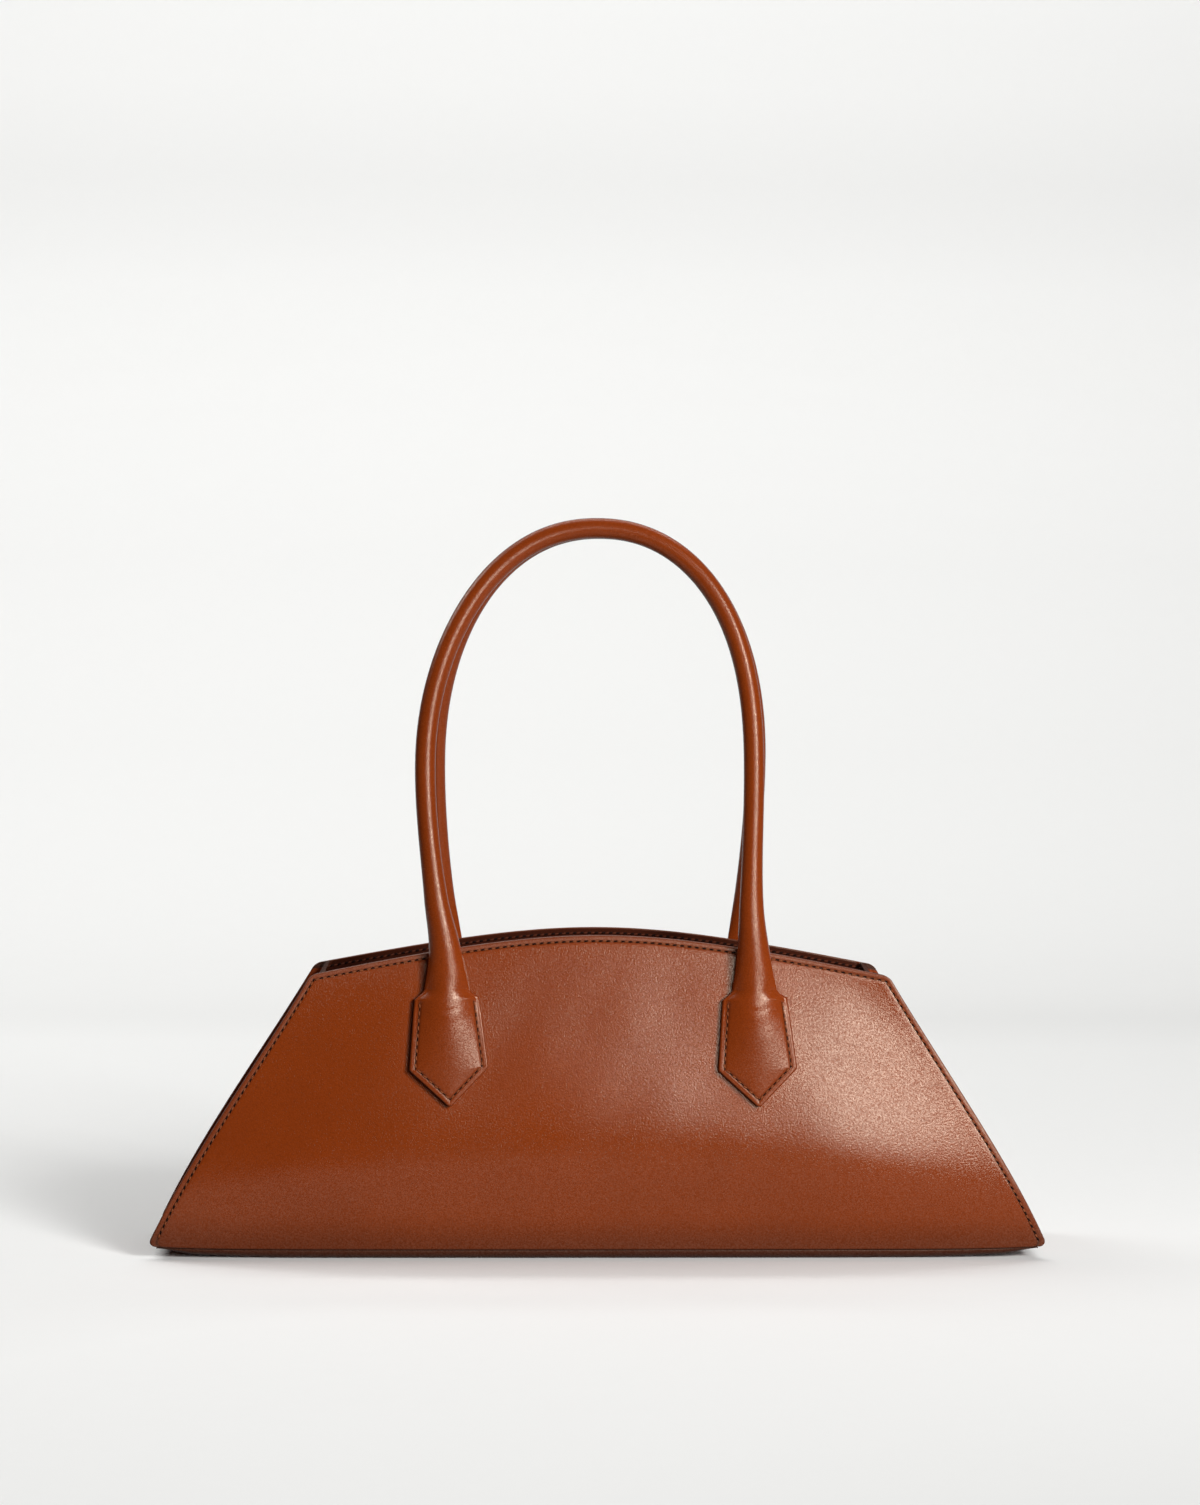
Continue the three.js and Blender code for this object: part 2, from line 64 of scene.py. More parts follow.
# Outline of the front and back panels
BASE_LENGTH, MOUTH_LENGTH = 402.0, 258.6
BODY_HEIGHT, CORNER_HEIGHT, CROWN_REACH = 143.6, 126.1, 71.0
SIDE_BOW, CORNER_LIFT, LIFT_POWER = 2.4, 1.4, 10
BASE_CORNER_RADIUS, MOUTH_CORNER_RADIUS = 4.0, 2.5

# Body from front to back, outside the leather
MOUTH_DEPTH, END_MOUTH_DEPTH = 49.0, 62.0
MIDDLE_PROFILE = (0.32, 0.12, 17.1, 28.3)
END_PROFILE = (0.18, 0.10, 20.0, 12.0)
PANEL_SLACK = 1.6
HIDE_WAVE = 0.05

# Layers of the wall, as depths inside its outer face
CLEARANCE = 0.3
PANEL_THICKNESS = 1.8
INNER_FACE = PANEL_THICKNESS + CLEARANCE
LINING_FRONT, LINING_BACK = 3.2, 3.8
FACING_BACK, FACING_WIDTH = INNER_FACE + 1.2, 24.0
FLANGE_BACK = INNER_FACE + 1.3
EDGE_RADIUS, LINING_EDGE = 0.7, 0.25

# Base, gussets and the layers on them
SEAM_HEIGHT = 4.3
BASE_ROLL, BASE_FLAT_LENGTH, BASE_ROCKER = 5.0, 250.0, 2.6
LAYER_RISE = 2.3
LINING_THICKNESS = 0.6
GUSSET_RECESS, GUSSET_THICKNESS, GUSSET_DIP, GUSSET_DISH = 4.6, 1.3, 7.0, 2.2

# Handles and their tabs
HANDLE_RADIUS, CORE_RADIUS = 4.6, 3.0
HANDLE_SPREAD, HANDLE_TOP, SPREAD_HEIGHT, FOLD_HEIGHT = 147.5, 326.4, 219.0, 121.0
ARCH_POWER, CROWN_SWAY_SHARE, HANDLE_GAP = 2.15, 0.3, 0.8
FLARE_LENGTH, NECK_WIDTH, NECK_DEPTH, NECK_LENGTH = 80.0, 20.0, 10.4, 4.5
TAB_SPACING, TAB_SHOULDER_WIDTH, TAB_WIDTH = 137.4, 29.0, 35.3
TAB_SIDE, TAB_POINT, TAB_POINT_FLAT, TAB_THICKNESS = 31.0, 16.2, 1.6, 1.6
TAB_SEAT, BACKING_MARGIN, BACKING_THICKNESS = 1.8, 0.4, 1.2
TAB_SHOULDER = FOLD_HEIGHT - CLEARANCE - NECK_LENGTH
TAB_CORNER = TAB_SHOULDER - TAB_SIDE
TAB_TIP = TAB_CORNER - TAB_POINT
VEE_COSINE = TAB_POINT / math.hypot(TAB_POINT, (TAB_WIDTH - TAB_POINT_FLAT) / 2)
TAB_DOME, TAB_CREASE, TAB_EDGE_RADIUS = 5.4, 0.22, 0.9

# Pressed stitch lines, and shares of painted shade along the panels' bottom edge and on the tabs'
# lower faces
PANEL_GROOVE, TAB_GROOVE, GROOVE_WIDTH = 0.18, 0.4, 0.55
PANEL_PAINTED_SHADE, TAB_PAINTED_SHADE = 0.58, 0.12

# The two halves: name, half turn about the vertical, sway of the loop, which is also the phase of
# its ripples, and turn of the tabs in degrees
HALVES = (("front", 0.0, -5.2, 2.0), ("back", math.pi, 0.8, -0.3))

# Magnetic snap
SNAP_RADIUS, SNAP_THICKNESS, SNAP_DROP, SNAP_ROUND = 8.5, 2.4, 14.0, 0.6

# Distances from an edge at which a grid has its lines: over the round, then over the stitch groove
EDGE_STEPS = np.array([0, 0.05, 0.2, 0.42, 0.7, 1.0, 1.3, 1.6, 1.9, 2.2, 2.5, 2.8, 3.2, 4.0])


# --- Shapes of the body ---


def lerp(a, b, t):
    """Straight blend from a at t = 0 to b at t = 1."""
    return a + (b - a) * t


def smooth(t):
    """Cubic ease from 0 to 1: 3t squared less 2t cubed, flat outside."""
    t = np.clip(t, 0.0, 1.0)
    return t * t * (3.0 - 2.0 * t)


def crown_z(x):
    """Top edge: a hyperbola through the two top corners and the middle."""
    fall = np.hypot(1.0, x / CROWN_REACH) - 1.0
    full = math.hypot(1.0, MOUTH_LENGTH / 2 / CROWN_REACH) - 1.0
    return BODY_HEIGHT - (BODY_HEIGHT - CORNER_HEIGHT) * fall / full


def seam_z(u):
    """Bottom edge: level, and rising with a high power of the share u towards its ends."""
    return SEAM_HEIGHT + CORNER_LIFT * np.abs(u) ** LIFT_POWER


SIDE_LENGTH = math.hypot((BASE_LENGTH - MOUTH_LENGTH) / 2, CORNER_HEIGHT - SEAM_HEIGHT)
SIDE_COSINE = (CORNER_HEIGHT - SEAM_HEIGHT) / SIDE_LENGTH
WEB_OUTER = GUSSET_RECESS / SIDE_COSINE
WEB_INNER = (GUSSET_RECESS + GUSSET_THICKNESS) / SIDE_COSINE
LAYER_MARGIN = WEB_INNER + CLEARANCE / SIDE_COSINE


def edge_fall(distance, radius):
    """Drop next to a rounded edge: a quarter circle over the last radius."""
    inside = radius - np.clip(distance, 0.0, radius)
    return radius - np.sqrt(radius**2 - inside**2)


def wall_x(v):
    """Half length at the share v of the height: a straight taper with a low outward bow."""
    return lerp(BASE_LENGTH, MOUTH_LENGTH, v) / 2 + SIDE_BOW * 6.75 * v * (1 - v) ** 2


def panel_x(v):
    """Half length of a panel: the wall's, less its rounded lower and upper corners."""
    low = edge_fall(v * SIDE_LENGTH, BASE_CORNER_RADIUS)
    high = edge_fall((1 - v) * SIDE_LENGTH, MOUTH_CORNER_RADIUS)
    return wall_x(v) - low - high


def wall_rise(u):
    """Height of the wall from its bottom edge to its top edge, at the share u of its length."""
    return crown_z(u * MOUTH_LENGTH / 2) - seam_z(u)


def wall_z(u, v):
    """Height of the wall point at the shares u and v."""
    return seam_z(u) + v * wall_rise(u)


def lean_back(v, crest, width, rise, fall):
    """Half depth over the mouth's: a hyperbola that rises from the base to a rounded crest and
    leans back straight from there to the mouth."""
    middle, half = (rise - fall) / 2, (rise + fall) / 2
    bend = np.hypot(v - crest, width) - math.hypot(1 - crest, width)
    return middle * (v - 1) - half * bend


def half_depth(u, v):
    """Half depth of the body: one profile in the middle, easing to a steeper one at the ends."""
    middle = MOUTH_DEPTH / 2 + lean_back(v, *MIDDLE_PROFILE)
    end = END_MOUTH_DEPTH / 2 + lean_back(v, *END_PROFILE)
    return end + (1 - u * u) * (middle - end)


def slack(u, v):
    """How far a panel stands off the body: a low swell on either side of the middle, highest past
    the handles, and three slanting waves of the hide, which die away towards all four edges."""
    away = np.abs(u)
    along = smooth((away - 0.2) / 0.4) * (1 - smooth((away - 0.6) / 0.4))
    waves = 2.0 + np.sin(18 * u + 7 * v + 0.6)
    waves = waves + 0.7 * np.sin(29 * u - 12 * v + 2.1) + 0.45 * np.sin(11 * u + 19 * v + 4.0)
    fade = smooth(v / 0.3) * smooth((1 - v) / 0.3)
    return (PANEL_SLACK * along + HIDE_WAVE * waves * smooth((1 - away) / 0.25)) * fade


def wall_half(x, z, loose=0.0):
    """Half depth of the body seen at x, z, with a share of the panel's slack: the shares of the
    wall come from a fixed-point search."""
    u = np.zeros(np.broadcast(x, z).shape)
    for _ in range(30):
        v = (z - seam_z(u)) / wall_rise(u)
        u = x / wall_x(np.clip(v, 0.0, 1.0))
    return half_depth(u, v) + loose * slack(u, v)


def stack(x, y, z):
    """Points from three arrays of coordinates."""
    return np.stack(np.broadcast_arrays(x, y, z), axis=-1)


def wall_point(x, v, inset):
    """Front wall at x and the share v: the half depth taken inwards by the inset."""
    u = x / wall_x(v)
    return stack(x, inset - half_depth(u, v), wall_z(u, v))


def on_wall(x, z, lift, loose=1.0):
    """Front wall seen at x, z, lifted off its panel, or off the body where it isn't loose."""
    return stack(x, -(wall_half(x, z, loose) + lift), z)


def edge_spread(length, count):
    """Distances along a length: the edge steps at both ends, and even steps between."""
    even = np.linspace(EDGE_STEPS[-1], length - EDGE_STEPS[-1], count)
    return np.concatenate([EDGE_STEPS[:-1], even, length - EDGE_STEPS[-2::-1]])


def side_spread(reach, count):
    """x from -reach to reach on each row: the edge steps at both ends, and even steps between."""
    near = EDGE_STEPS[:-1] / SIDE_COSINE
    even = np.linspace(-1, 1, count) * (reach - EDGE_STEPS[-1] / SIDE_COSINE)
    return np.concatenate([near - reach, even, (reach - near)[:, ::-1]], axis=1)


def groove(offset, depth):
    """Pressed stitch line: a bell across it, the given depth at offset 0."""
    return depth * np.exp(-((offset / GROOVE_WIDTH) ** 2))


def dish(t, across):
    """Hollow of a gusset at the share t of its height: a sine up it, a parabola across it."""
    return GUSSET_DISH * np.sin(math.pi * t**0.8) * (1 - across**2)


def steps(*runs):
    """Values through runs of (first, last, count), each of which ends where the next begins."""
    return np.concatenate([*(np.linspace(*run)[:-1] for run in runs), [runs[-1][1]]])


# --- Meshes ---


def grid_faces(rows, columns, closed=False):
    """Quads between the points of a grid; closed joins its last column to its first."""
    r, c = np.meshgrid(np.arange(rows - 1), np.arange(columns - (not closed)), indexing="ij")
    a, b = r * columns + c, r * columns + (c + 1) % columns
    return np.stack([a, b, b + columns, a + columns], axis=-1).reshape(-1, 4)


def sheet_faces(rows, columns):
    """Quads of a sheet: one grid, a second grid turned over, and the strip round their edges."""
    face = grid_faces(rows, columns)
    index = np.arange(rows * columns).reshape(rows, columns)
    rim = np.concatenate([index[0, :-1], index[:-1, -1], index[-1, :0:-1], index[:0:-1, 0]])
    ahead = np.roll(rim, -1)
    strip = np.stack([ahead, rim, rim + rows * columns, ahead + rows * columns], axis=-1)
    return np.concatenate([face, face[:, ::-1] + rows * columns, strip])


def turned(points, angle):
    """Points turned about the vertical axis."""
    c, s = math.cos(angle), math.sin(angle)
    return points @ np.array([[c, s, 0.0], [-s, c, 0.0], [0.0, 0.0, 1.0]])


def add_piece(name, points, faces, finish, caps=(), marks=None):
    """Closed mesh from points in millimetres, with its faces turned outwards by its volume.

    Marks are named values or vectors for each point, which its material reads."""
    points = points.reshape(-1, 3)
    a, b, c, d = (points[faces[:, k]] for k in range(4))
    volume = (a * (np.cross(b, c) + np.cross(c, d))).sum()
    polygons = faces.tolist() + [list(cap) for cap in caps]
    if volume < 0:
        polygons = [polygon[::-1] for polygon in polygons]
    mesh = bpy.data.meshes.new(name)
    mesh.from_pydata((points * MM).tolist(), [], polygons)
    mesh.polygons.foreach_set("use_smooth", np.ones(len(polygons), bool))
    for mark, values in {"rest": points * MM, **(marks or {})}.items():
        vector = values.ndim == 2
        layer = mesh.attributes.new(mark, "FLOAT_VECTOR" if vector else "FLOAT", "POINT")
        layer.data.foreach_set("vector" if vector else "value", values.astype(np.float32).ravel())
    if mesh.validate():
        raise RuntimeError(f"{name}: its mesh has faults")
    mesh.update()
    mesh.materials.append(finish)
    piece = bpy.data.objects.new(name, mesh)
    bpy.context.scene.collection.objects.link(piece)
    return piece


def add_sheet(name, place, distance, near, far, radius, finish, turn=0.0, marks=None):
    """Sheet with rounded edges: place(depth) gives its grid at a depth, and by its edges the
    two faces draw together in quarter circles of the radius."""
    fall = edge_fall(distance, radius)
    rows, columns = distance.shape
    points = np.concatenate([place(near + fall).reshape(-1, 3), place(far - fall).reshape(-1, 3)])
    edge = 1.0 - smooth((distance.ravel() - 0.3 * radius) / radius)
    marks = {"edge": np.tile(edge, 2), **(marks or {})}
    return add_piece(name, turned(points, turn), sheet_faces(rows, columns), finish, marks=marks)


def both(near, far=0.0):
    """A mark for the near face of a sheet, with one value on its far face."""
    return np.concatenate([near.ravel(), np.full(near.size, far)])


def woven(across, along):
    """Flat place of both faces of a cloth, for its weave."""
    return {"weave": np.tile(stack(across, along, 0.0).reshape(-1, 3) * MM, (2, 1))}


def fit(piece, body, replaces=()):
    """Puts a piece on its CAD body, in the place of its CAD nodes, with its finish's slot."""
    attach(piece, body)
    if replaces:
        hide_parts(*replaces)


# --- Finishes ---


class Wire:
    """A node's output in a Python expression: each operator adds a Math node."""

    def __init__(self, finish, socket):
        self.finish, self.socket = finish, socket

    def maths(self, operation, first, second):
        """Math node on two wires or numbers."""
        return self.finish.add("ShaderNodeMath", {"operation": operation}, {0: first, 1: second})

    def __add__(self, other):
        return self.maths("ADD", self, other)

    def __sub__(self, other):
        return self.maths("SUBTRACT", self, other)

    def __rsub__(self, other):
        return self.maths("SUBTRACT", other, self)

    def __mul__(self, other):
        return self.maths("MULTIPLY", self, other)

    def __pow__(self, other):
        return self.maths("POWER", self, other)

    __radd__, __rmul__ = __add__, __mul__


def opaque(colour):
    """Colour with full alpha."""
    return (*colour, 1.0)


class Finish:
    """Nodes of a material, or of another owner, ending in one shader."""

    def __init__(self, name, owners="materials"):
        self.owner = getattr(bpy.data, owners).new(name)
        self.owner.use_nodes = True
        self.tree = self.owner.node_tree
        self.tree.nodes.clear()

    def add(self, kind, settings=None, inputs=None, output=0):
        """One node: settings are set first (stops fill a colour ramp), then values and links."""
        node = self.tree.nodes.new(kind)
        for key, value in (settings or {}).items():
            if key == "stops":
                ramp = node.color_ramp
                while len(ramp.elements) < len(value):
                    ramp.elements.new(1.0)
                for element, (position, grey) in zip(ramp.elements, value):
                    element.position, element.color = position, (grey, grey, grey, 1.0)
            else:
                setattr(node, key, value)
        for key, value in (inputs or {}).items():
            if isinstance(value, Wire):
                self.tree.links.new(value.socket, node.inputs[key])
            else:
                node.inputs[key].default_value = value
        return Wire(self, node.outputs[output]) if len(node.outputs) else None

    def mark(self, name, output="Fac"):
        """A piece's own mark: a value by default, or its vector."""
        return self.add("ShaderNodeAttribute", {"attribute_name": name}, output=output)

    def noise(self, place, scale, detail=2.0, roughness=0.5):
        """Soft noise from 0 to 1."""
        inputs = {"Vector": place, "Scale": scale, "Detail": detail, "Roughness": roughness}
        return self.add("ShaderNodeTexNoise", None, inputs)

    def ramp(self, value, *stops):
        """Value through a ramp of greys."""
        return self.add("ShaderNodeValToRGB", {"stops": stops}, {"Fac": value})

    def bands(self, place, scale, direction="DIAGONAL", **inputs):
        """Even bands from 0 to 1."""
        settings = {"wave_type": "BANDS", "bands_direction": direction}
        inputs = {"Vector": place, "Scale": scale, **inputs}
        return self.add("ShaderNodeTexWave", settings, inputs, "Fac")

    def blend(self, share, first, second):
        """Colour from first to second by a share."""
        first, second = (c if isinstance(c, Wire) else opaque(c) for c in (first, second))
        return self.add("ShaderNodeMix", {"data_type": "RGBA"}, {0: share, 6: first, 7: second}, 2)

    def bump(self, height, distance, strength):
        """Normal tilted by a height in units of the distance."""
        inputs = {"Height": height, "Distance": distance, "Strength": strength}
        return self.add("ShaderNodeBump", None, inputs)

    def principled(self, **inputs):
        """Principled shader; underscores in names stand for spaces."""
        inputs = {key.replace("_", " "): value for key, value in inputs.items()}
        return self.add("ShaderNodeBsdfPrincipled", None, inputs)

    def mixed(self, share, first, second):
        """Shader from first to second by a share."""
        return self.add("ShaderNodeMixShader", None, {0: share, 1: first, 2: second})

    def end(self, shader, output="ShaderNodeOutputMaterial"):
        """Ends the finish in a shader."""
        self.add(output, None, {"Surface": shader})
        return self.owner

    def shade(self, **inputs):
        """Ends the finish in one Principled shader."""
        return self.end(self.principled(**inputs))


def leather(name, colour, deep, lining, look, shine=0.5, dull=0.0):
    """Smooth leather: cloudy dye, pebble grain with pores and shinier tops, a pressed stitch line,
    painted edges."""
    finish = Finish(name)
    place = finish.mark("rest", "Vector")
    edge, pressed, lined = (finish.mark(mark) for mark in ("edge", "groove", "lined"))
    cloud = finish.noise(place, 17.0, 4.0, 0.55)
    pebble_scale = 1.0 / look.grain_size
    speck = finish.noise(place, pebble_scale * 0.95, 2.0, 0.6)
    grain = finish.ramp(speck, (0.38, 0.0), (0.62, 1.0))
    pebble = finish.add(
        "ShaderNodeTexVoronoi",
        {"feature": "SMOOTH_F1"},
        {"Vector": place, "Scale": pebble_scale, "Smoothness": 0.5},
    )
    fine = finish.noise(place, pebble_scale * 2.6, 3.0, 0.6)
    pores = finish.ramp(finish.noise(place, pebble_scale * 1.9, 1.0), (0.30, 1.0), (0.42, 0.0))
    height = (speck * 0.8 - pebble * 0.7 + fine * 0.4 - pores * 0.3) * (1.0 - edge * 0.8)
    dyed = finish.blend(finish.ramp(cloud, (0.3, 0.0), (0.8, 0.6)), colour, deep)
    dark = pores * 0.5 + pebble * 0.7 + (0.5 - grain) * 0.28
    shaded = finish.blend(dark * (1.0 - edge), dyed, deep)
    painted = finish.blend(edge * 0.8, shaded, look.edge)
    # Painted shade from the groove mark, with some dirt in the stitch lines
    sunk_shade = finish.blend(pressed * 0.8, painted, look.shade)
    gloss = look.roughness + dull + (cloud - 0.5) * 0.08 + (fine - 0.5) * 0.30
    gloss = gloss + edge * 0.30 + pressed * 0.40 + lined * 0.45
    shared = {
        "Base_Color": finish.blend(lined, sunk_shade, lining),
        "Roughness": gloss,
        "Normal": finish.bump(height, look.grain_depth, 0.9),
        "Specular_Tint": (1.0, 0.86, 0.69, 1.0),
    }
    hollows = finish.principled(Specular_IOR_Level=shine * 0.55, **shared)
    tops = finish.principled(Specular_IOR_Level=shine * 1.45, **shared)
    return finish.end(finish.mixed(grain, hollows, tops))


def thread(name, colour, shadow):
    """Waxed sewing thread: a lay of fine plies along each stitch, dark where it enters its hole."""
    finish = Finish(name)
    plies = finish.bands(finish.mark("lay", "Vector"), 2.4, Distortion=0.6)
    sunk_shade = finish.ramp(finish.mark("end"), (0.35, 0.0), (0.8, 1.0))
    return finish.shade(
        Base_Color=finish.blend(sunk_shade, finish.blend(plies * 0.3, colour, shadow), shadow),
        Roughness=0.55 + plies * 0.1,
        Normal=finish.bump(plies, 0.00006, 0.6),
        Specular_IOR_Level=0.1,
    )


def cloth(name, colour, deep):
    """Twill lining: a diagonal rib of crossing yarns, slightly uneven, with a soft sheen."""
    finish = Finish(name)
    flat = finish.mark("weave", "Vector")
    slub = finish.noise(flat, 420.0, 3.0)
    rib = finish.bands(flat, 620.0, Distortion=0.4, Detail=1.0)
    yarn = finish.bands(flat, 900.0, "X")
    relief = rib * 0.7 + yarn * 0.3 + slub * 0.3
    return finish.shade(
        Base_Color=finish.blend(relief * 0.6, deep, colour),
        Roughness=0.72 + slub * 0.15,
        Normal=finish.bump(relief, 0.00012, 0.7),
        Sheen_Weight=0.25,
        Sheen_Roughness=0.4,
    )


def fibreboard(name, colour, deep):
    """Pressed board of leather fibre: short matted strands and darker flecks."""
    finish = Finish(name)
    place = finish.add("ShaderNodeTexCoord", output="Object")
    longer = finish.add("ShaderNodeMapping", None, {"Vector": place, "Scale": (0.35, 1.0, 1.0)})
    strands = finish.noise(longer, 900.0, 5.0, 0.65)
    flecks = finish.ramp(finish.noise(place, 260.0, 2.0), (0.58, 0.0), (0.7, 1.0))
    return finish.shade(
        Base_Color=finish.blend(strands * 0.6 + flecks * 0.3, colour, deep),
        Roughness=0.85 + strands * 0.1,
        Normal=finish.bump(strands, 0.0003, 0.5),
    )


def cotton(name, colour, deep):
    """Laid cotton cord: hairy yarns that follow the strands' twist."""
    finish = Finish(name)
    yarns = finish.bands(finish.mark("lay", "Vector"), 700.0, Distortion=1.5, Detail=2.0)
    fluff = finish.noise(finish.mark("rest", "Vector"), 1500.0, 3.0)
    return finish.shade(
        Base_Color=finish.blend(yarns * 0.6 + fluff * 0.3, deep, colour),
        Roughness=0.85 + fluff * 0.1,
        Normal=finish.bump(yarns + fluff, 0.0002, 0.6),
        Sheen_Weight=0.3,
    )


def plated_metal(name, colour, dull):
    """Brushed plated metal: fine turning marks, small scuffs and a duller worn rim."""
    finish = Finish(name)
    turning = finish.noise(finish.mark("lay", "Vector"), 60.0, 2.0)
    worn = finish.noise(finish.mark("rest", "Vector"), 900.0, 4.0, 0.7)
    scuffs = finish.ramp(worn, (0.55, 0.0), (0.75, 1.0))
    return finish.shade(
        Base_Color=finish.blend(scuffs * 0.5 + turning * 0.3, colour, dull),
        Metallic=1.0,
        Roughness=0.22 + turning * 0.12 + scuffs * 0.2,
        Normal=finish.bump(turning, 0.00003, 0.4),
    )


# Softboxes: place, point that they face, and size, in metres
SOFTBOXES = {
    "key": ((1.61, -2.218, 1.32), (0, 0, 0.1), (0.7, 0.7)),
    "side": ((0.42, -0.95, 0.32), (0, 0, 0.12), (0.50, 0.36)),
    "strip": ((0.125, -0.95, 0.39), (0, 0, 0.12), (0.09, 0.25)),
    "top": ((0.0, 0.5, 2.5), (0, 0.5, 0), (3.0, 1.0)),
    "wash": ((0.0, 0.9, 2.3), (0, 1.7, 1.4), (2.6, 0.5)),
    "fill": ((-1.3, 0.5, 1.3), (-0.6, 0.3, 0), (0.8, 0.8)),
}

# Tone of the paper against a third of its depth and height in metres: less where it is lit more
SWEEP_TONES = (
    (0.0, 0.94), (0.1, 0.9), (0.3, 0.77), (0.4, 0.72), (0.55, 0.69), (0.65, 0.7), (0.8, 0.79),
    (0.85, 0.75),
)


def studio_paper(name, colour, bounce):
    """Matt pale paper of the floor and backdrop, with a very faint fibre. Only what the camera or
    a gloss sees is pale, so that the paper throws little light back at the object. Its tone falls
    towards the foot of the low softbox and up the sweep, so that it looks even. A camera behind
    it looks through it."""
    finish = Finish(name)
    place = finish.add("ShaderNodeTexCoord", output="Object")
    fibre = finish.noise(place, 90.0, 3.0)
    pale = finish.blend(fibre, colour, [c * 1.01 for c in colour])
    camera, gloss, through = (
        finish.add("ShaderNodeLightPath", output=f"Is {ray} Ray")
        for ray in ("Camera", "Glossy", "Transmission")
    )
    foot = (*SOFTBOXES["side"][0][:2], 0.0)
    settings, inputs = {"operation": "DISTANCE"}, {0: place, 1: foot}
    reach = finish.add("ShaderNodeVectorMath", settings, inputs, output="Value")
    even = (0.76 + (reach * reach + 0.084) ** -1.5 * 0.176) ** -1.0
    deep, high = (
        finish.add("ShaderNodeSeparateXYZ", None, {"Vector": place}, output=axis) for axis in "YZ"
    )
    even = even * finish.ramp((deep + high) * 0.333, *SWEEP_TONES)
    graded = finish.blend(even, (0.0, 0.0, 0.0), pale)
    paper = finish.principled(
        Base_Color=finish.blend(camera + gloss * 0.6 + through, bounce, graded),
        Roughness=0.95,
        Specular_IOR_Level=0.1,
    )
    clear = finish.add("ShaderNodeBsdfTransparent", output="BSDF")
    behind = finish.add("ShaderNodeNewGeometry", output="Backfacing")
    return finish.end(finish.mixed(behind * camera, paper, clear))


def material(name):
    """A finish by name, made the first time from the scene's colours."""
    made = bpy.data.materials.get(name)
    if made:
        return made
    scene = bpy.context.scene
    look, inside, stage = scene.bag_look, scene.bag_inside, scene.bag_stage
    maker, *values = {
        "tan_hide": (leather, look.colour, look.deep, inside.facing, look),
        "handle_hide": (leather, look.colour, look.deep, inside.facing, look, 0.36, 0.10),
        "gusset_hide": (leather, look.colour, look.deep, inside.facing_deep, look, 0.3),
        "inner_hide": (leather, inside.facing, inside.facing_deep, inside.facing, look, 0.2),
        "sewing_thread": (thread, look.thread, look.shade),
        "inner_thread": (thread, inside.thread, look.shade),
        "twill_lining": (cloth, inside.lining, inside.lining_deep),
        "fibre_board": (fibreboard, inside.board, inside.board_deep),
        "cotton_cord": (cotton, inside.cord, inside.cord_deep),
        "plated_snap": (plated_metal, inside.metal, inside.metal_dull),
        "studio_paper": (studio_paper, stage.paper, stage.bounce),
    }[name]
    return maker(name, *values)


# --- Stitches ---

STITCH_RINGS = np.array([-0.8, -0.4, 0.0, 0.4, 0.8])
STITCH_SIDES = 6


def stitch_run(path, place, outward, sewing):
    """Stitches along a line on a surface: each is a capsule whose ends dip into the leather, with a
    flat lens at one end for the dark hole between it and the next.

    The path's rows are the surface's two parameters. The stitches stand at even lengths along it,
    each turned a little across the line. Returns points (stitches, points, 3) and their marks."""
    line = place(path[:, 0], path[:, 1])
    length = np.concatenate([[0.0], np.cumsum(np.linalg.norm(np.diff(line, axis=0), axis=1))])
    count = max(1, round(length[-1] / (sewing.pitch / MM)))
    pitch = length[-1] / count
    at = (np.arange(count) + 0.5) * pitch

    def spot(s):
        return [np.interp(s, length, path[:, k]) for k in range(2)]

    a, b = spot(at)
    centre = place(a, b)
    along = place(*spot(at + 0.3)) - place(*spot(at - 0.3))
    along /= np.linalg.norm(along, axis=1, keepdims=True)
    step = 0.05
    first, second = place(a + step, b) - place(a - step, b), place(a, b + step) - place(a, b - step)
    normal = np.cross(first, second)
    normal /= np.linalg.norm(normal, axis=1, keepdims=True)
    normal *= np.sign(normal @ np.array(outward))[:, None]
    across = np.cross(normal, along)
    half, thick = pitch * sewing.fill / 2, sewing.thread_width / MM / 2
    turn = np.arange(STITCH_SIDES) * 2 * math.pi / STITCH_SIDES
    ring = np.concatenate([[-1.0], np.repeat(STITCH_RINGS, STITCH_SIDES), [1.0]])
    angle = np.concatenate([[0.0], np.tile(turn, len(STITCH_RINGS)), [0.0]])
    girth = thick * (1 - ring**2) ** 0.35
    thread_rise = girth * np.sin(angle) * 0.8 + thick * (0.55 - 1.5 * ring**4)
    pole = np.array([0.0])
    hole_u = np.concatenate([pole, 0.5 * sewing.hole / MM * np.cos(turn), pole])
    hole_w = np.concatenate([pole, thick * 1.25 * np.sin(turn), pole])
    turns = (
        (ring * half, girth * np.cos(angle), sewing.slant, 0.0),
        (hole_u, hole_w, 2 * sewing.slant, pitch / 2),
    )
    u = np.concatenate([p * math.cos(t) - q * math.sin(t) + shift for p, q, t, shift in turns])
    w = np.concatenate([p * math.sin(t) + q * math.cos(t) for p, q, t, _ in turns])
    hole_rise = np.concatenate([pole + 0.12, 0 * turn + 0.08, pole - 0.1])
    rise = np.concatenate([thread_rise, hole_rise])
    points = centre[:, None] + along[:, None] * u[:, None] + across[:, None] * w[:, None]
    points = points + normal[:, None] * rise[:, None]
    # Painted shade: each thread darkens towards its ends, and each hole lens is all shade
    dark = np.concatenate([np.abs(ring), 0 * hole_u + 1.0])
    lay = np.concatenate([stack(ring * half, angle, 0 * ring), stack(hole_u, hole_w, 0 * hole_u)])
    return points, dark, lay


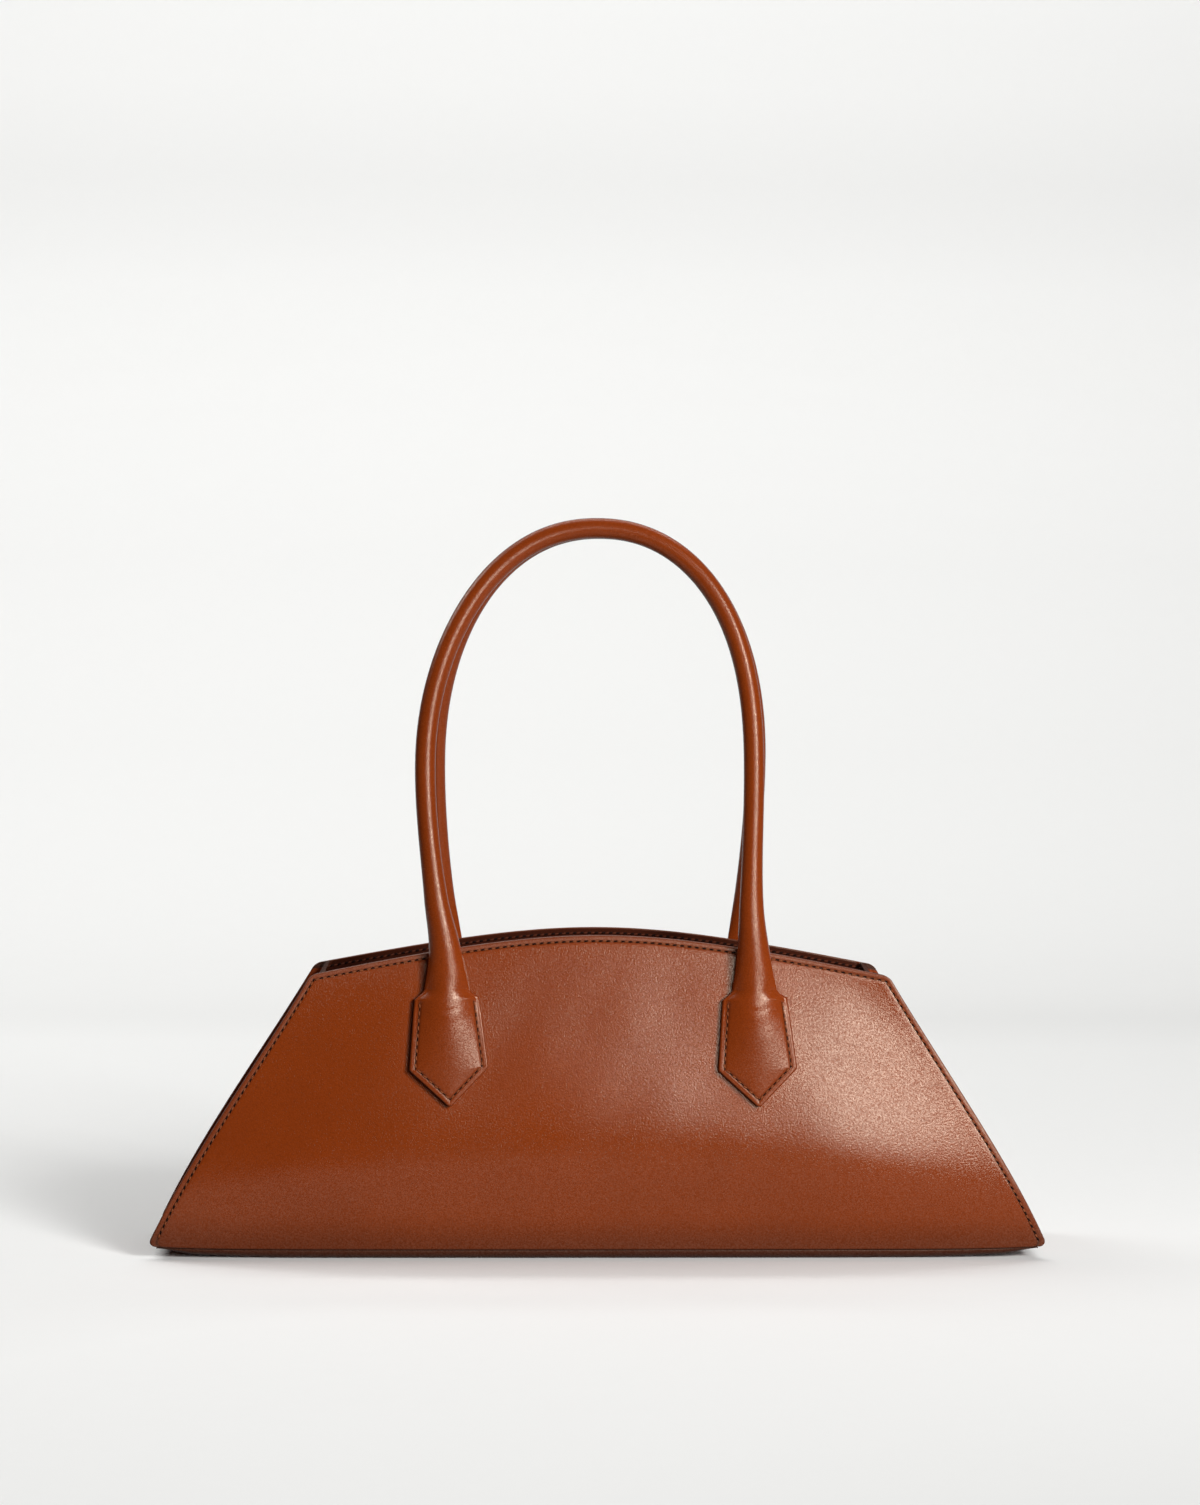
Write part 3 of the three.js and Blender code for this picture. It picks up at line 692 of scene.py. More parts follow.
def stitch_faces():
    """Faces of one stitch: quads between the rings, and round each pole quads over two sides. The
    hole is two such poles on one ring."""
    side = np.arange(0, STITCH_SIDES, 2)
    ahead = (side + 2) % STITCH_SIDES

    def fan(pole, ring, flip):
        quads = np.stack([0 * side + pole, ring + ahead, ring + side + 1, ring + side], axis=-1)
        return quads[:, ::-1] if flip else quads

    last = 1 + STITCH_SIDES * len(STITCH_RINGS)
    quads = grid_faces(len(STITCH_RINGS), STITCH_SIDES, closed=True) + 1
    thread_ends = [fan(0, 1, False), fan(last, last - STITCH_SIDES, True)]
    hole = last + 1
    hole_ends = [fan(hole, hole + 1, True), fan(hole + 1 + STITCH_SIDES, hole + 1, False)]
    return np.concatenate([quads, *thread_ends, *hole_ends])


def add_stitching(name, runs, finish, turn=0.0):
    """All stitches of one seam as a single piece."""
    points = np.concatenate([run[0] for run in runs])
    count, each = points.shape[:2]
    faces = stitch_faces()[None] + (np.arange(count) * each)[:, None, None]
    marks = {"end": np.tile(runs[0][1], count), "lay": np.tile(runs[0][2], (count, 1))}
    piece = add_piece(name, turned(points, turn), faces.reshape(-1, 4), finish, marks=marks)
    fit(piece, "bag")


# --- Lines on the panels and tabs ---


def panel_lines(top_inset, side_inset):
    """Stitch lines of a panel as x, z rows: both sides and the top edge, moved in from the edges
    and cut where they meet at the top corners."""
    x = np.linspace(-MOUTH_LENGTH / 2, MOUTH_LENGTH / 2, 3000)
    slope = np.gradient(crown_z(x), x)
    size = np.hypot(1.0, slope)
    top_x, top_z = x + top_inset * slope / size, crown_z(x) - top_inset / size
    v = np.linspace(0.03, 1.0, 3000)
    side_x = wall_x(v) - side_inset / SIDE_COSINE
    side_z = wall_z(side_x / wall_x(v), v)
    below = side_z <= np.interp(side_x, top_x, top_z, right=BODY_HEIGHT)
    side_x, side_z = side_x[below], side_z[below]
    inside = np.abs(top_x) <= side_x[-1]
    side = np.stack([side_x, side_z], axis=1)
    return side * (-1, 1), np.stack([top_x[inside], top_z[inside]], axis=1), side[::-1]


def leg_half(q, at_neck):
    """Half width or depth of a leg: the tube, flaring with a cube to its size at the neck."""
    flare = np.maximum(0.0, 1 - np.maximum(q, 0.0) / FLARE_LENGTH) ** 3
    return lerp(HANDLE_RADIUS, at_neck / 2, flare)


def tab_side(z):
    """Half width of a tab along its straight sides."""
    return lerp(TAB_WIDTH, TAB_SHOULDER_WIDTH, (z - TAB_CORNER) / TAB_SIDE) / 2


def tab_vee(z):
    """Half width of a tab along its point."""
    return lerp(TAB_POINT_FLAT, TAB_WIDTH, (z - TAB_TIP) / TAB_POINT) / 2


def tab_half(z):
    """Half width of a tab and its neck: the least of sides, point and sine flare, corners eased."""
    up = np.clip((z - TAB_SHOULDER) / NECK_LENGTH, -0.9, 1.0)
    extra = (TAB_SHOULDER_WIDTH - NECK_WIDTH) / 2 * (1 - np.sin(up * math.pi / 2))
    neck = leg_half((z - FOLD_HEIGHT) / math.cos(LEAN), NECK_WIDTH) + extra
    ease = 0.3
    total = sum(np.exp(-(w - 10.0) / ease) for w in (tab_side(z), tab_vee(z), neck))
    return 10.0 - ease * np.log(total)


def tab_crown(x, z, half):
    """Height of a tab over its seat: its thickness and a swell across it.

    The swell is half an ellipse at the fold and a parabola between the stitch lines below it. It
    sinks towards the shoulders, has a short crease where the roll ends, and then dies away."""
    down = TAB_SHOULDER - z
    roll = (NECK_DEPTH - TAB_THICKNESS) * lerp(1.0, 0.60, smooth((down + 44.0) / 50.0))
    dome = TAB_DOME * np.clip(1 - down / 45.0, 0.0, 1.0)
    step = smooth((down + 2.0 + 0.03 * x**2) / 14.0)
    crease = np.exp(-(((down - 5.0 + 0.05 * x**2) / 1.3) ** 2) - (x / 5.0) ** 2)
    ellipse = np.sqrt(np.maximum(0.0, 1 - (x / half) ** 2))
    pillow = np.maximum(0.0, 1 - (x / np.maximum(half - 1.6, 1.0)) ** 2) ** 1.1
    section = lerp(ellipse, pillow, smooth((down + 13.0) / 20.0))
    return TAB_THICKNESS + lerp(roll, dome, step) * section - TAB_CREASE * crease


def tab_edge(x, z, half):
    """Distance from a tab's edge, square to its sides or to its point."""
    return (half - np.abs(x)) * np.where(z < TAB_CORNER, VEE_COSINE, 1.0)


def tab_point(centre, turn, x, z, lift):
    """Point over the front wall, turned about the middle of the tab's shoulders."""
    angle = np.radians(turn)
    down = TAB_SHOULDER - z
    turned_x = centre + x * np.cos(angle) + down * np.sin(angle)
    turned_z = TAB_SHOULDER + x * np.sin(angle) - down * np.cos(angle)
    return on_wall(turned_x, turned_z, lift)


def tabs(turn, tab_turn):
    """Name of the side and place(x, z, lift) of each of a half's two tabs."""
    for sign in (-1, 1):
        side = "left" if sign * math.cos(turn) < 0 else "right"
        yield side, partial(tab_point, sign * TAB_SPACING / 2, tab_turn)


def tab_line(inset):
    """Stitch line of a tab as x, z rows: down one side, round the point and up the other."""
    z = np.linspace(TAB_SHOULDER - 1.2, TAB_TIP, 4000)
    half = np.minimum(tab_side(z) - inset, tab_vee(z) - inset / VEE_COSINE)
    z, half = z[half > 0], half[half > 0]
    left = np.stack([-half, z], axis=1)
    return np.concatenate([left, left[::-1] * (-1, 1)])


# --- Handles ---

NECK_Y = float(wall_half(TAB_SPACING / 2, FOLD_HEIGHT)) + TAB_SEAT + NECK_DEPTH / 2
CROWN_Y = HANDLE_RADIUS + HANDLE_GAP / 2
LEAN = math.atan2(NECK_Y - CROWN_Y, HANDLE_TOP - FOLD_HEIGHT)
LEG_RISE = (SPREAD_HEIGHT - FOLD_HEIGHT) / math.cos(LEAN)
ARCH_RISE = (HANDLE_TOP - SPREAD_HEIGHT) / math.cos(LEAN)
JOIN_LOW, JOIN_HIGH = 117.0, 160.0
RING_POINTS = 136


def handle_line(low, sway):
    """Middle line of a handle in its leaning plane: the low heights, a leg easing outwards, a
    superellipse arch, and the same down the other side. The sway moves it sideways, most at the
    widest place. Returns x, height q and the ring's sideways direction in the plane."""
    q = np.concatenate([low, np.linspace(low[-1], LEG_RISE, 60)[1:]])
    leg = lerp(TAB_SPACING, HANDLE_SPREAD, smooth(q / LEG_RISE)) / 2
    angle = np.linspace(0, math.pi / 2, 70)[1:]
    power = 2 / ARCH_POWER
    x = np.concatenate([leg, HANDLE_SPREAD / 2 * np.maximum(np.cos(angle), 0.0) ** power])
    q = np.concatenate([q, LEG_RISE + ARCH_RISE * np.sin(angle) ** power])
    x, q = np.concatenate([-x, x[-2::-1]]), np.concatenate([q, q[-2::-1]])
    up = np.minimum(1.0, q / LEG_RISE)
    x = x + sway * up * (2 - up) * lerp(1.0, CROWN_SWAY_SHARE, smooth((q - LEG_RISE) / ARCH_RISE))
    dx, dq = np.gradient(x), np.gradient(q)
    size = np.hypot(dx, dq)
    return tuple(a[:, None] for a in (x, q, dq / size, -dx / size))


def in_plane(x, q, out):
    """Point of the front handle's leaning plane, moved out of it towards the front."""
    y = -NECK_Y + q * math.sin(LEAN) - out * math.cos(LEAN)
    return stack(x, y, FOLD_HEIGHT + q * math.cos(LEAN) + out * math.sin(LEAN))


def handle_points(sway, turn):
    """Rings of one handle with both tabs. Low rings are tabs: a flat back on the seat and a
    crowned face. High rings are ellipses round the middle line. The neck blends the two."""
    low = steps(
        (TAB_TIP, 70.2, 7), (70.2, 84.0, 18), (84.0, 86.6, 8), (86.6, 115.0, 36),
        (115.0, FOLD_HEIGHT, 22), (FOLD_HEIGHT, JOIN_HIGH, 34),
    )
    x, q, across_x, across_q = handle_line((low - FOLD_HEIGHT) / math.cos(LEAN), sway)
    z = FOLD_HEIGHT + q * math.cos(LEAN)
    angle = np.arange(RING_POINTS) * 2 * math.pi / RING_POINTS
    cosine, sine = np.cos(angle), np.sin(angle)
    half = tab_half(np.minimum(z, JOIN_HIGH))
    half = np.where(z < JOIN_HIGH, half, leg_half(q, NECK_WIDTH))
    seam = 1 - 0.07 * np.exp(-(((angle - 1.5 * math.pi) / 0.09) ** 2)) * smooth((z - 125) / 20)
    wide = half * cosine
    out = leg_half(q, NECK_DEPTH) * sine * seam
    tube = in_plane(x + across_x * wide, q + across_q * wide, out)
    sign = np.where(np.arange(len(q)) <= len(q) // 2, 1.0, -1.0)[:, None]
    tab_x, tab_z = sign * wide, np.minimum(z, JOIN_HIGH)
    distance = np.minimum(tab_edge(tab_x, tab_z, half), tab_z - TAB_TIP)
    line = groove(distance - bpy.context.scene.bag_sewing.tab_inset / MM, TAB_GROOVE)
    line = line * smooth((TAB_SHOULDER - 0.5 - tab_z) / 1.5)
    face = TAB_SEAT + tab_crown(tab_x, tab_z, half) - line
    face = face - edge_fall(distance, TAB_EDGE_RADIUS)
    back = TAB_SEAT + edge_fall(distance, 0.35)
    lift = np.where(sine >= 0, face, back)
    bend = turn * np.clip((FOLD_HEIGHT - CLEARANCE - tab_z) / NECK_LENGTH, 0.0, 1.0)
    tab = tab_point(-sign * TAB_SPACING / 2, bend, tab_x, tab_z, lift)
    share = smooth((z - JOIN_LOW) / (JOIN_HIGH - JOIN_LOW))[..., None]
    paint = (1 - smooth((distance - 0.1) / 0.45)) * smooth((TAB_SHOULDER + 3.0 - z) / 3.0)
    # Painted shade on the tab's lower face and in its stitch groove
    painted_shade = TAB_PAINTED_SHADE * smooth((TAB_SHOULDER - 4.0 - z) / 16.0)
    marks = {"edge": paint * 0.5, "groove": line / TAB_GROOVE * (sine > 0) * 0.5 + painted_shade}
    return lerp(tab, tube, share), marks


def core_points(sway):
    """Laid cord of three strands: a three-lobed ring that turns along the middle line."""
    x, q, across_x, across_q = handle_line(np.linspace(22.0, 32.0, 12), sway)
    run = np.hypot(np.diff(x, axis=0), np.diff(q, axis=0))
    length = np.concatenate([[[0.0]], np.cumsum(run, axis=0)])
    angle = np.arange(36) * 2 * math.pi / 36
    radius = CORE_RADIUS * (0.93 + 0.07 * np.cos(3 * (angle - length / 6.0)))
    wide = radius * np.cos(angle)
    points = in_plane(x + across_x * wide, q + across_q * wide, radius * np.sin(angle))
    return points, stack(length * MM, angle * CORE_RADIUS * MM, 0.0)


def add_tube(name, points, finish, marks):
    """Closed tube through rings, with its two end rings as caps."""
    rows, columns = points.shape[:2]
    faces = grid_faces(rows, columns, closed=True)
    caps = range(columns)[::-1], range((rows - 1) * columns, rows * columns)
    return add_piece(name, points, faces, finish, caps, marks)


# --- Settings ---


def colour_property(name, text, value):
    """A colour that a user can change."""
    return FloatVectorProperty(
        name=name, description=text, subtype="COLOR", size=3, min=0.0, max=1.0, default=value
    )


def length_property(name, text, value):
    """A length that a user can change, given in millimetres."""
    return FloatProperty(
        name=name, description=text, subtype="DISTANCE", unit="LENGTH", default=value * MM
    )


def angle_property(name, text, value):
    """An angle that a user can change, given in radians."""
    return FloatProperty(
        name=name, description=text, subtype="ANGLE", unit="ROTATION", default=value
    )


def place_property(name, text, value):
    """A point that a user can move, in metres."""
    return FloatVectorProperty(
        name=name, description=text, subtype="TRANSLATION", unit="LENGTH", default=value
    )


def power_property(name, text, value):
    """A lamp's power, in watts."""
    return FloatProperty(name=name, description=text, unit="POWER", default=value)


class BagLook(bpy.types.PropertyGroup):
    """Leather of the outside."""

    colour: colour_property("Leather", "Colour of the tan leather", (0.27, 0.0425, 0.0051))
    deep: colour_property("Deep leather", "Darker clouds of the dye", (0.175, 0.0265, 0.0032))
    edge: colour_property("Edge", "Colour of the finished edges", (0.12, 0.026, 0.009))
    shade: colour_property("Shade", "Stitch holes and grooves", (0.014, 0.003, 0.0012))
    thread: colour_property("Thread", "Colour of the sewing thread", (0.30, 0.085, 0.030))
    grain_size: length_property("Grain size", "Width of one pebble of the grain", 0.72)
    grain_depth: length_property("Grain depth", "Height of the grain", 0.05)
    roughness: FloatProperty(
        name="Roughness", description="Roughness of the leather", min=0.05, max=1.0, default=0.14
    )


class BagSewing(bpy.types.PropertyGroup):
    """Stitching."""

    pitch: length_property("Pitch", "Length of one stitch with its gap", 3.3)
    thread_width: length_property("Thread", "Width of the thread", 0.8)
    top_inset: length_property("Top inset", "Stitch line to the top edge", 2.5)
    side_inset: length_property("Side inset", "Stitch line to the side edges", 2.6)
    tab_inset: length_property("Tab inset", "Stitch line to a tab's edge", 2.7)
    fill: FloatProperty(
        name="Fill", description="Share of the pitch in thread", min=0.3, max=1.0, default=0.9
    )
    hole: length_property("Hole", "Length of the awl hole between two stitches", 2.2)
    slant: angle_property("Slant", "Turn of each stitch across its line", math.radians(11))


class BagInside(bpy.types.PropertyGroup):
    """Inside of the bag."""

    facing: colour_property("Facing", "Leather band inside the mouth", (0.060, 0.014, 0.007))
    facing_deep: colour_property("Deep facing", "Its darker clouds", (0.040, 0.009, 0.0045))
    thread: colour_property("Inner thread", "Thread on the facing", (0.14, 0.035, 0.016))
    lining: colour_property("Lining", "Twill lining", (0.085, 0.030, 0.017))
    lining_deep: colour_property("Deep lining", "Valleys of the twill", (0.035, 0.011, 0.006))
    board: colour_property("Board", "Leather board of the stiffeners", (0.26, 0.19, 0.12))
    board_deep: colour_property("Board flecks", "Darker strands of the board", (0.13, 0.085, 0.05))
    cord: colour_property("Cord", "Cotton cord in the handles", (0.68, 0.60, 0.44))
    cord_deep: colour_property("Cord shade", "Between the cord's yarns", (0.40, 0.33, 0.22))
    metal: colour_property("Snap", "Plated metal of the snap", (0.72, 0.52, 0.25))
    metal_dull: colour_property("Worn snap", "Worn places of the plating", (0.40, 0.28, 0.14))


class BagStage(bpy.types.PropertyGroup):
    """Studio."""

    paper: colour_property("Paper", "Floor and backdrop", (0.92, 0.92, 0.905))
    bounce: colour_property("Bounce", "Light that the paper throws back", (0.12, 0.12, 0.118))
    eye: place_property("Eye", "Place of the camera", (-0.0726, -1.6356, 0.2755))
    aim: place_property("Aim", "Point in the middle of the picture", (0.0002, 0.0, 0.22485))
    roll: angle_property("Roll", "Camera's right side tipped up", 0.00697)
    lens: FloatProperty(
        name="Lens", description="Focal length for a 36 mm long side", unit="CAMERA", default=86.29
    )
    key: power_property("Key", "Softbox at the right", 60.5)
    side: power_property("Side", "Low softbox at the right", 6.0)
    strip: power_property("Strip", "Narrow softbox in front", 0.32)
    top: power_property("Top", "Softbox overhead", 11.0)
    wash: power_property("Wash", "Softbox on the backdrop", 34.0)
    fill: power_property("Fill", "Softbox on the floor", 9.0)
    sky: FloatProperty(name="Sky", description="Even light of the room", min=0.0, default=0.02)


# --- Operators ---


class BAG_OT_stage(bpy.types.Operator):
    """Floor that sweeps up into a backdrop, softboxes, the room's light and the camera"""

    bl_idname = "bag.stage"
    bl_label = "Stage"

    def sweep(self):
        """Paper carried along a path: level floor, quarter circle, upright wall."""
        bend = np.linspace(0, math.pi / 2, 24)
        back, radius = 1700.0, 700.0
        y = np.concatenate([[-700.0, -300.0], back - radius + radius * np.sin(bend), [back]])
        z = np.concatenate([[0.0, 0.0], radius - radius * np.cos(bend), [3600.0]])
        points = stack(np.linspace(-3200.0, 3200.0, 9), y[:, None], z[:, None])
        mesh = bpy.data.meshes.new("studio_sweep")
        faces = grid_faces(*points.shape[:2])
        mesh.from_pydata((points.reshape(-1, 3) * MM).tolist(), [], faces.tolist())
        mesh.polygons.foreach_set("use_smooth", np.ones(len(faces), bool))
        mesh.materials.append(material("studio_paper"))
        floor = bpy.data.objects.new("studio_sweep", mesh)
        bpy.context.scene.collection.objects.link(floor)

    def aimed(self, data, place, aim, roll=0.0):
        """Lamp or camera at a place, facing a point and turned about its line of sight."""
        turn = (Vector(aim) - Vector(place)).to_track_quat("-Z", "Y")
        turn = turn @ Quaternion((0, 0, 1), roll)
        piece = bpy.data.objects.new(data.name, data)
        piece.matrix_world = Matrix.LocRotScale(Vector(place), turn, None)
        bpy.context.scene.collection.objects.link(piece)
        return piece

    def execute(self, context):
        scene, stage = context.scene, context.scene.bag_stage
        self.sweep()
        for name, (place, aim, size) in SOFTBOXES.items():
            lamp = bpy.data.lights.new(f"{name}_softbox", "AREA")
            lamp.shape, lamp.energy = "RECTANGLE", getattr(stage, name)
            lamp.size, lamp.size_y = size
            self.aimed(lamp, place, aim)
        room = Finish("room", "worlds")
        light = {"Color": (1.0, 1.0, 1.0, 1.0), "Strength": stage.sky}
        dim = room.add("ShaderNodeBackground", None, light)
        pale = room.add("ShaderNodeBackground", None, {"Color": opaque(stage.paper)})
        camera_ray = room.add("ShaderNodeLightPath", output="Is Camera Ray")
        scene.world = room.end(room.mixed(camera_ray, dim, pale), "ShaderNodeOutputWorld")
        data = bpy.data.cameras.new("camera")
        data.sensor_fit, data.sensor_width, data.lens = "AUTO", 36.0, stage.lens
        scene.camera = self.aimed(data, stage.eye, stage.aim, stage.roll)
        scene.view_settings.view_transform = "Standard"
        return {"FINISHED"}


class BAG_OT_panels(bpy.types.Operator):
    """Front and back panels: lofted walls with a belly, rounded painted edges, a stitch groove"""

    bl_idname = "bag.panels"
    bl_label = "Panels"

    def execute(self, context):
        sewing = context.scene.bag_sewing
        v = edge_spread(SIDE_LENGTH, 84)[:, None] / SIDE_LENGTH
        reach = panel_x(v)
        x = side_spread(reach, 150)
        u = x / wall_x(v)
        side = (reach - np.abs(x)) * SIDE_COSINE
        top, low = (1 - v) * wall_rise(u), v * wall_rise(u)
        distance = np.minimum(np.minimum(side, top), low)
        offset = np.minimum(side - sewing.side_inset / MM, top - sewing.top_inset / MM)
        # Painted shade: in the stitch groove, and in a band that darkens towards the bottom edge
        # over its lowest 18 mm
        line = groove(offset, PANEL_GROOVE)
        painted_shade = PANEL_PAINTED_SHADE * (1 - smooth(low / 18.0))
        strip = 1 - (smooth((offset + 0.9) / 0.8) + smooth((distance - 0.2) / 0.7)) / 2
        marks = {"edge": both(strip, 1.0), "groove": both(line / PANEL_GROOVE / 2 + painted_shade)}
        z = wall_z(u, v)
        for name, turn, phase, _ in HALVES:
            ripple = np.sin(x / 41.0 + phase) * np.sin(z / 27.0 + 0.6 + phase) * 0.3
            ripple = ripple * smooth(distance / 30.0)

            def place(depth):
                pressed = np.where(depth < PANEL_THICKNESS / 2, line, 0.0)
                return wall_point(x, v, depth + pressed + ripple - slack(u, v))

            piece = add_sheet(
                f"{name}_panel_leather", place, distance, 0.0, PANEL_THICKNESS, EDGE_RADIUS,
                material("tan_hide"), turn, marks,
            )
            fit(piece, "bag", [f"{name}_panel"])
        return {"FINISHED"}


class BAG_OT_gussets(bpy.types.Operator):
    """End gussets: a channel with rounded folds, a dished web and a turned hem at its top"""

    bl_idname = "bag.gussets"
    bl_label = "Gussets"

    def profile(self, web, radius):
        """Channel across the bag: arm, quarter circle, web, quarter circle, arm. Returns the
        inset from the side edge, and the share and offset that turn the half depth into y."""
        arm = np.linspace(0.3, web - radius, 7)[:-1]
        angle = np.linspace(0, math.pi / 2, 9)
        bend = web - radius + radius * np.sin(angle)
        middle = np.linspace(1, -1, 33)[1:-1]
        inset = np.concatenate([arm, bend, np.full(31, web), bend[::-1], arm[::-1]])
        drop = np.concatenate([0 * arm, radius * (1 - np.cos(angle))])
        share = np.concatenate([np.ones(15), middle, -np.ones(15)])
        offset = np.concatenate([-drop, -radius * middle, drop[::-1]])
        return inset, share, offset

    def execute(self, context):
        rows = edge_spread(SIDE_LENGTH, 50)[:, None]
        t = rows / SIDE_LENGTH
        top = SIDE_LENGTH - rows
        hem = 0.55 * (1 - smooth((top - 2.2) / 1.4))
        fall = edge_fall(np.minimum(top, rows), 0.6)
        faces = []
        for web, depth, radius, sign in (
            (WEB_OUTER, FLANGE_BACK, 2.2, -1.0),
            (WEB_INNER, INNER_FACE, 3.5, 1.0),
        ):
            inset, share, offset = self.profile(web, radius)
            on_web = smooth(inset / web) * (1 - np.abs(share) ** 6)
            v = t * (1 - GUSSET_DIP / SIDE_LENGTH * (1 - share**2) * smooth(inset / web))
            inset = inset + dish(t, share) + sign * (hem - fall) * on_web
            x = np.minimum(panel_x(v) - 0.3, wall_x(v) - inset)
            u = x / wall_x(v)
            y = share * (half_depth(u, v) - depth) + offset
            faces.append(stack(x, y, wall_z(u, v)))
        rows, columns = faces[0].shape[:2]
        points = np.concatenate([face.reshape(-1, 3) for face in faces])
        level = np.ones(columns)
        edge = np.tile(((1 - smooth((top - 0.2) / 0.6)) * level).ravel(), 2)
        lined = both((1 - smooth((top - 2.8) / 0.8)) * level, 1.0)
        for name, turn in (("right", 0.0), ("left", math.pi)):
            piece = add_piece(
                f"{name}_gusset_leather", turned(points, turn), sheet_faces(rows, columns),
                material("gusset_hide"), marks={"edge": edge * 0.6, "lined": lined},
            )
            fit(piece, "bag", [f"{name}_gusset"])
        return {"FINISHED"}


class BAG_OT_base(bpy.types.Operator):
    """Base: a leather plate with rolled long edges whose underside lifts towards the ends"""

    bl_idname = "bag.base"
    bl_label = "Base"

    def execute(self, context):
        reach = float(panel_x(np.array(0.0)))
        along = edge_spread(2 * reach, 130)[:, None]
        x = along - reach
        u = x / wall_x(0.0)
        fall = edge_fall(np.minimum(along, 2 * reach - along), 1.0)
        past = np.maximum(0.0, np.abs(x) - BASE_FLAT_LENGTH / 2)
        half = half_depth(u, 0.0) - fall - 1.2
        top = seam_z(u) - CLEARANCE - fall * 0.3
        rocker = BASE_ROCKER * (past / (reach - BASE_FLAT_LENGTH / 2)) ** 2
        low = lerp(rocker, top - 0.8, smooth((np.abs(x) - reach + 16.0) / 16.0))
        angle = np.linspace(0, math.pi / 2, 14)
        roll_y = half - BASE_ROLL * (1 - np.cos(angle))
        roll_z = top - (top - low) * np.sin(angle)
        across = np.linspace(1, -1, 26)[1:-1]
        flat_y = (half - BASE_ROLL) * across
        y = np.concatenate([roll_y, flat_y, -roll_y[:, ::-1], -half * across], axis=1)
        level = np.ones_like(across)
        z = np.concatenate([roll_z, low * level, roll_z[:, ::-1], top * level], axis=1)
        points = stack(x, y, z)
        # Painted shade on the rolled edges: full by the seam, fading before the underside
        painted_roll_shade = 1 - smooth((angle - 1.0) / 0.5)
        painted_roll_shade = np.concatenate([painted_roll_shade, 0 * level, painted_roll_shade[::-1], 0 * level]) * np.ones_like(x)
        piece = add_tube("base_leather", points, material("tan_hide"), {"groove": painted_roll_shade.ravel()})
        fit(piece, "bag", ["base_panel"])
        return {"FINISHED"}


class BAG_OT_facings(bpy.types.Operator):
    """Facings: leather bands inside the mouth, with rounded lower edges"""

    bl_idname = "bag.facings"
    bl_label = "Facings"

    def execute(self, context):
        share = np.linspace(-1, 1, 131)
        down = edge_spread(FACING_WIDTH, 18)[::-1, None]
        v = 1 - down / wall_rise(share)
        reach = wall_x(v) - LAYER_MARGIN
        x = share * reach
        distance = np.minimum(down, FACING_WIDTH - down)
        distance = np.minimum(distance, (reach - np.abs(x)) * SIDE_COSINE)
        for name, turn, _, _ in HALVES:
            piece = add_sheet(
                f"{name}_facing_leather", lambda depth: wall_point(x, v, depth), distance,
                INNER_FACE, FACING_BACK, 0.5, material("inner_hide"), turn,
            )
            fit(piece, "bag", [f"{name}_facing"])
        return {"FINISHED"}


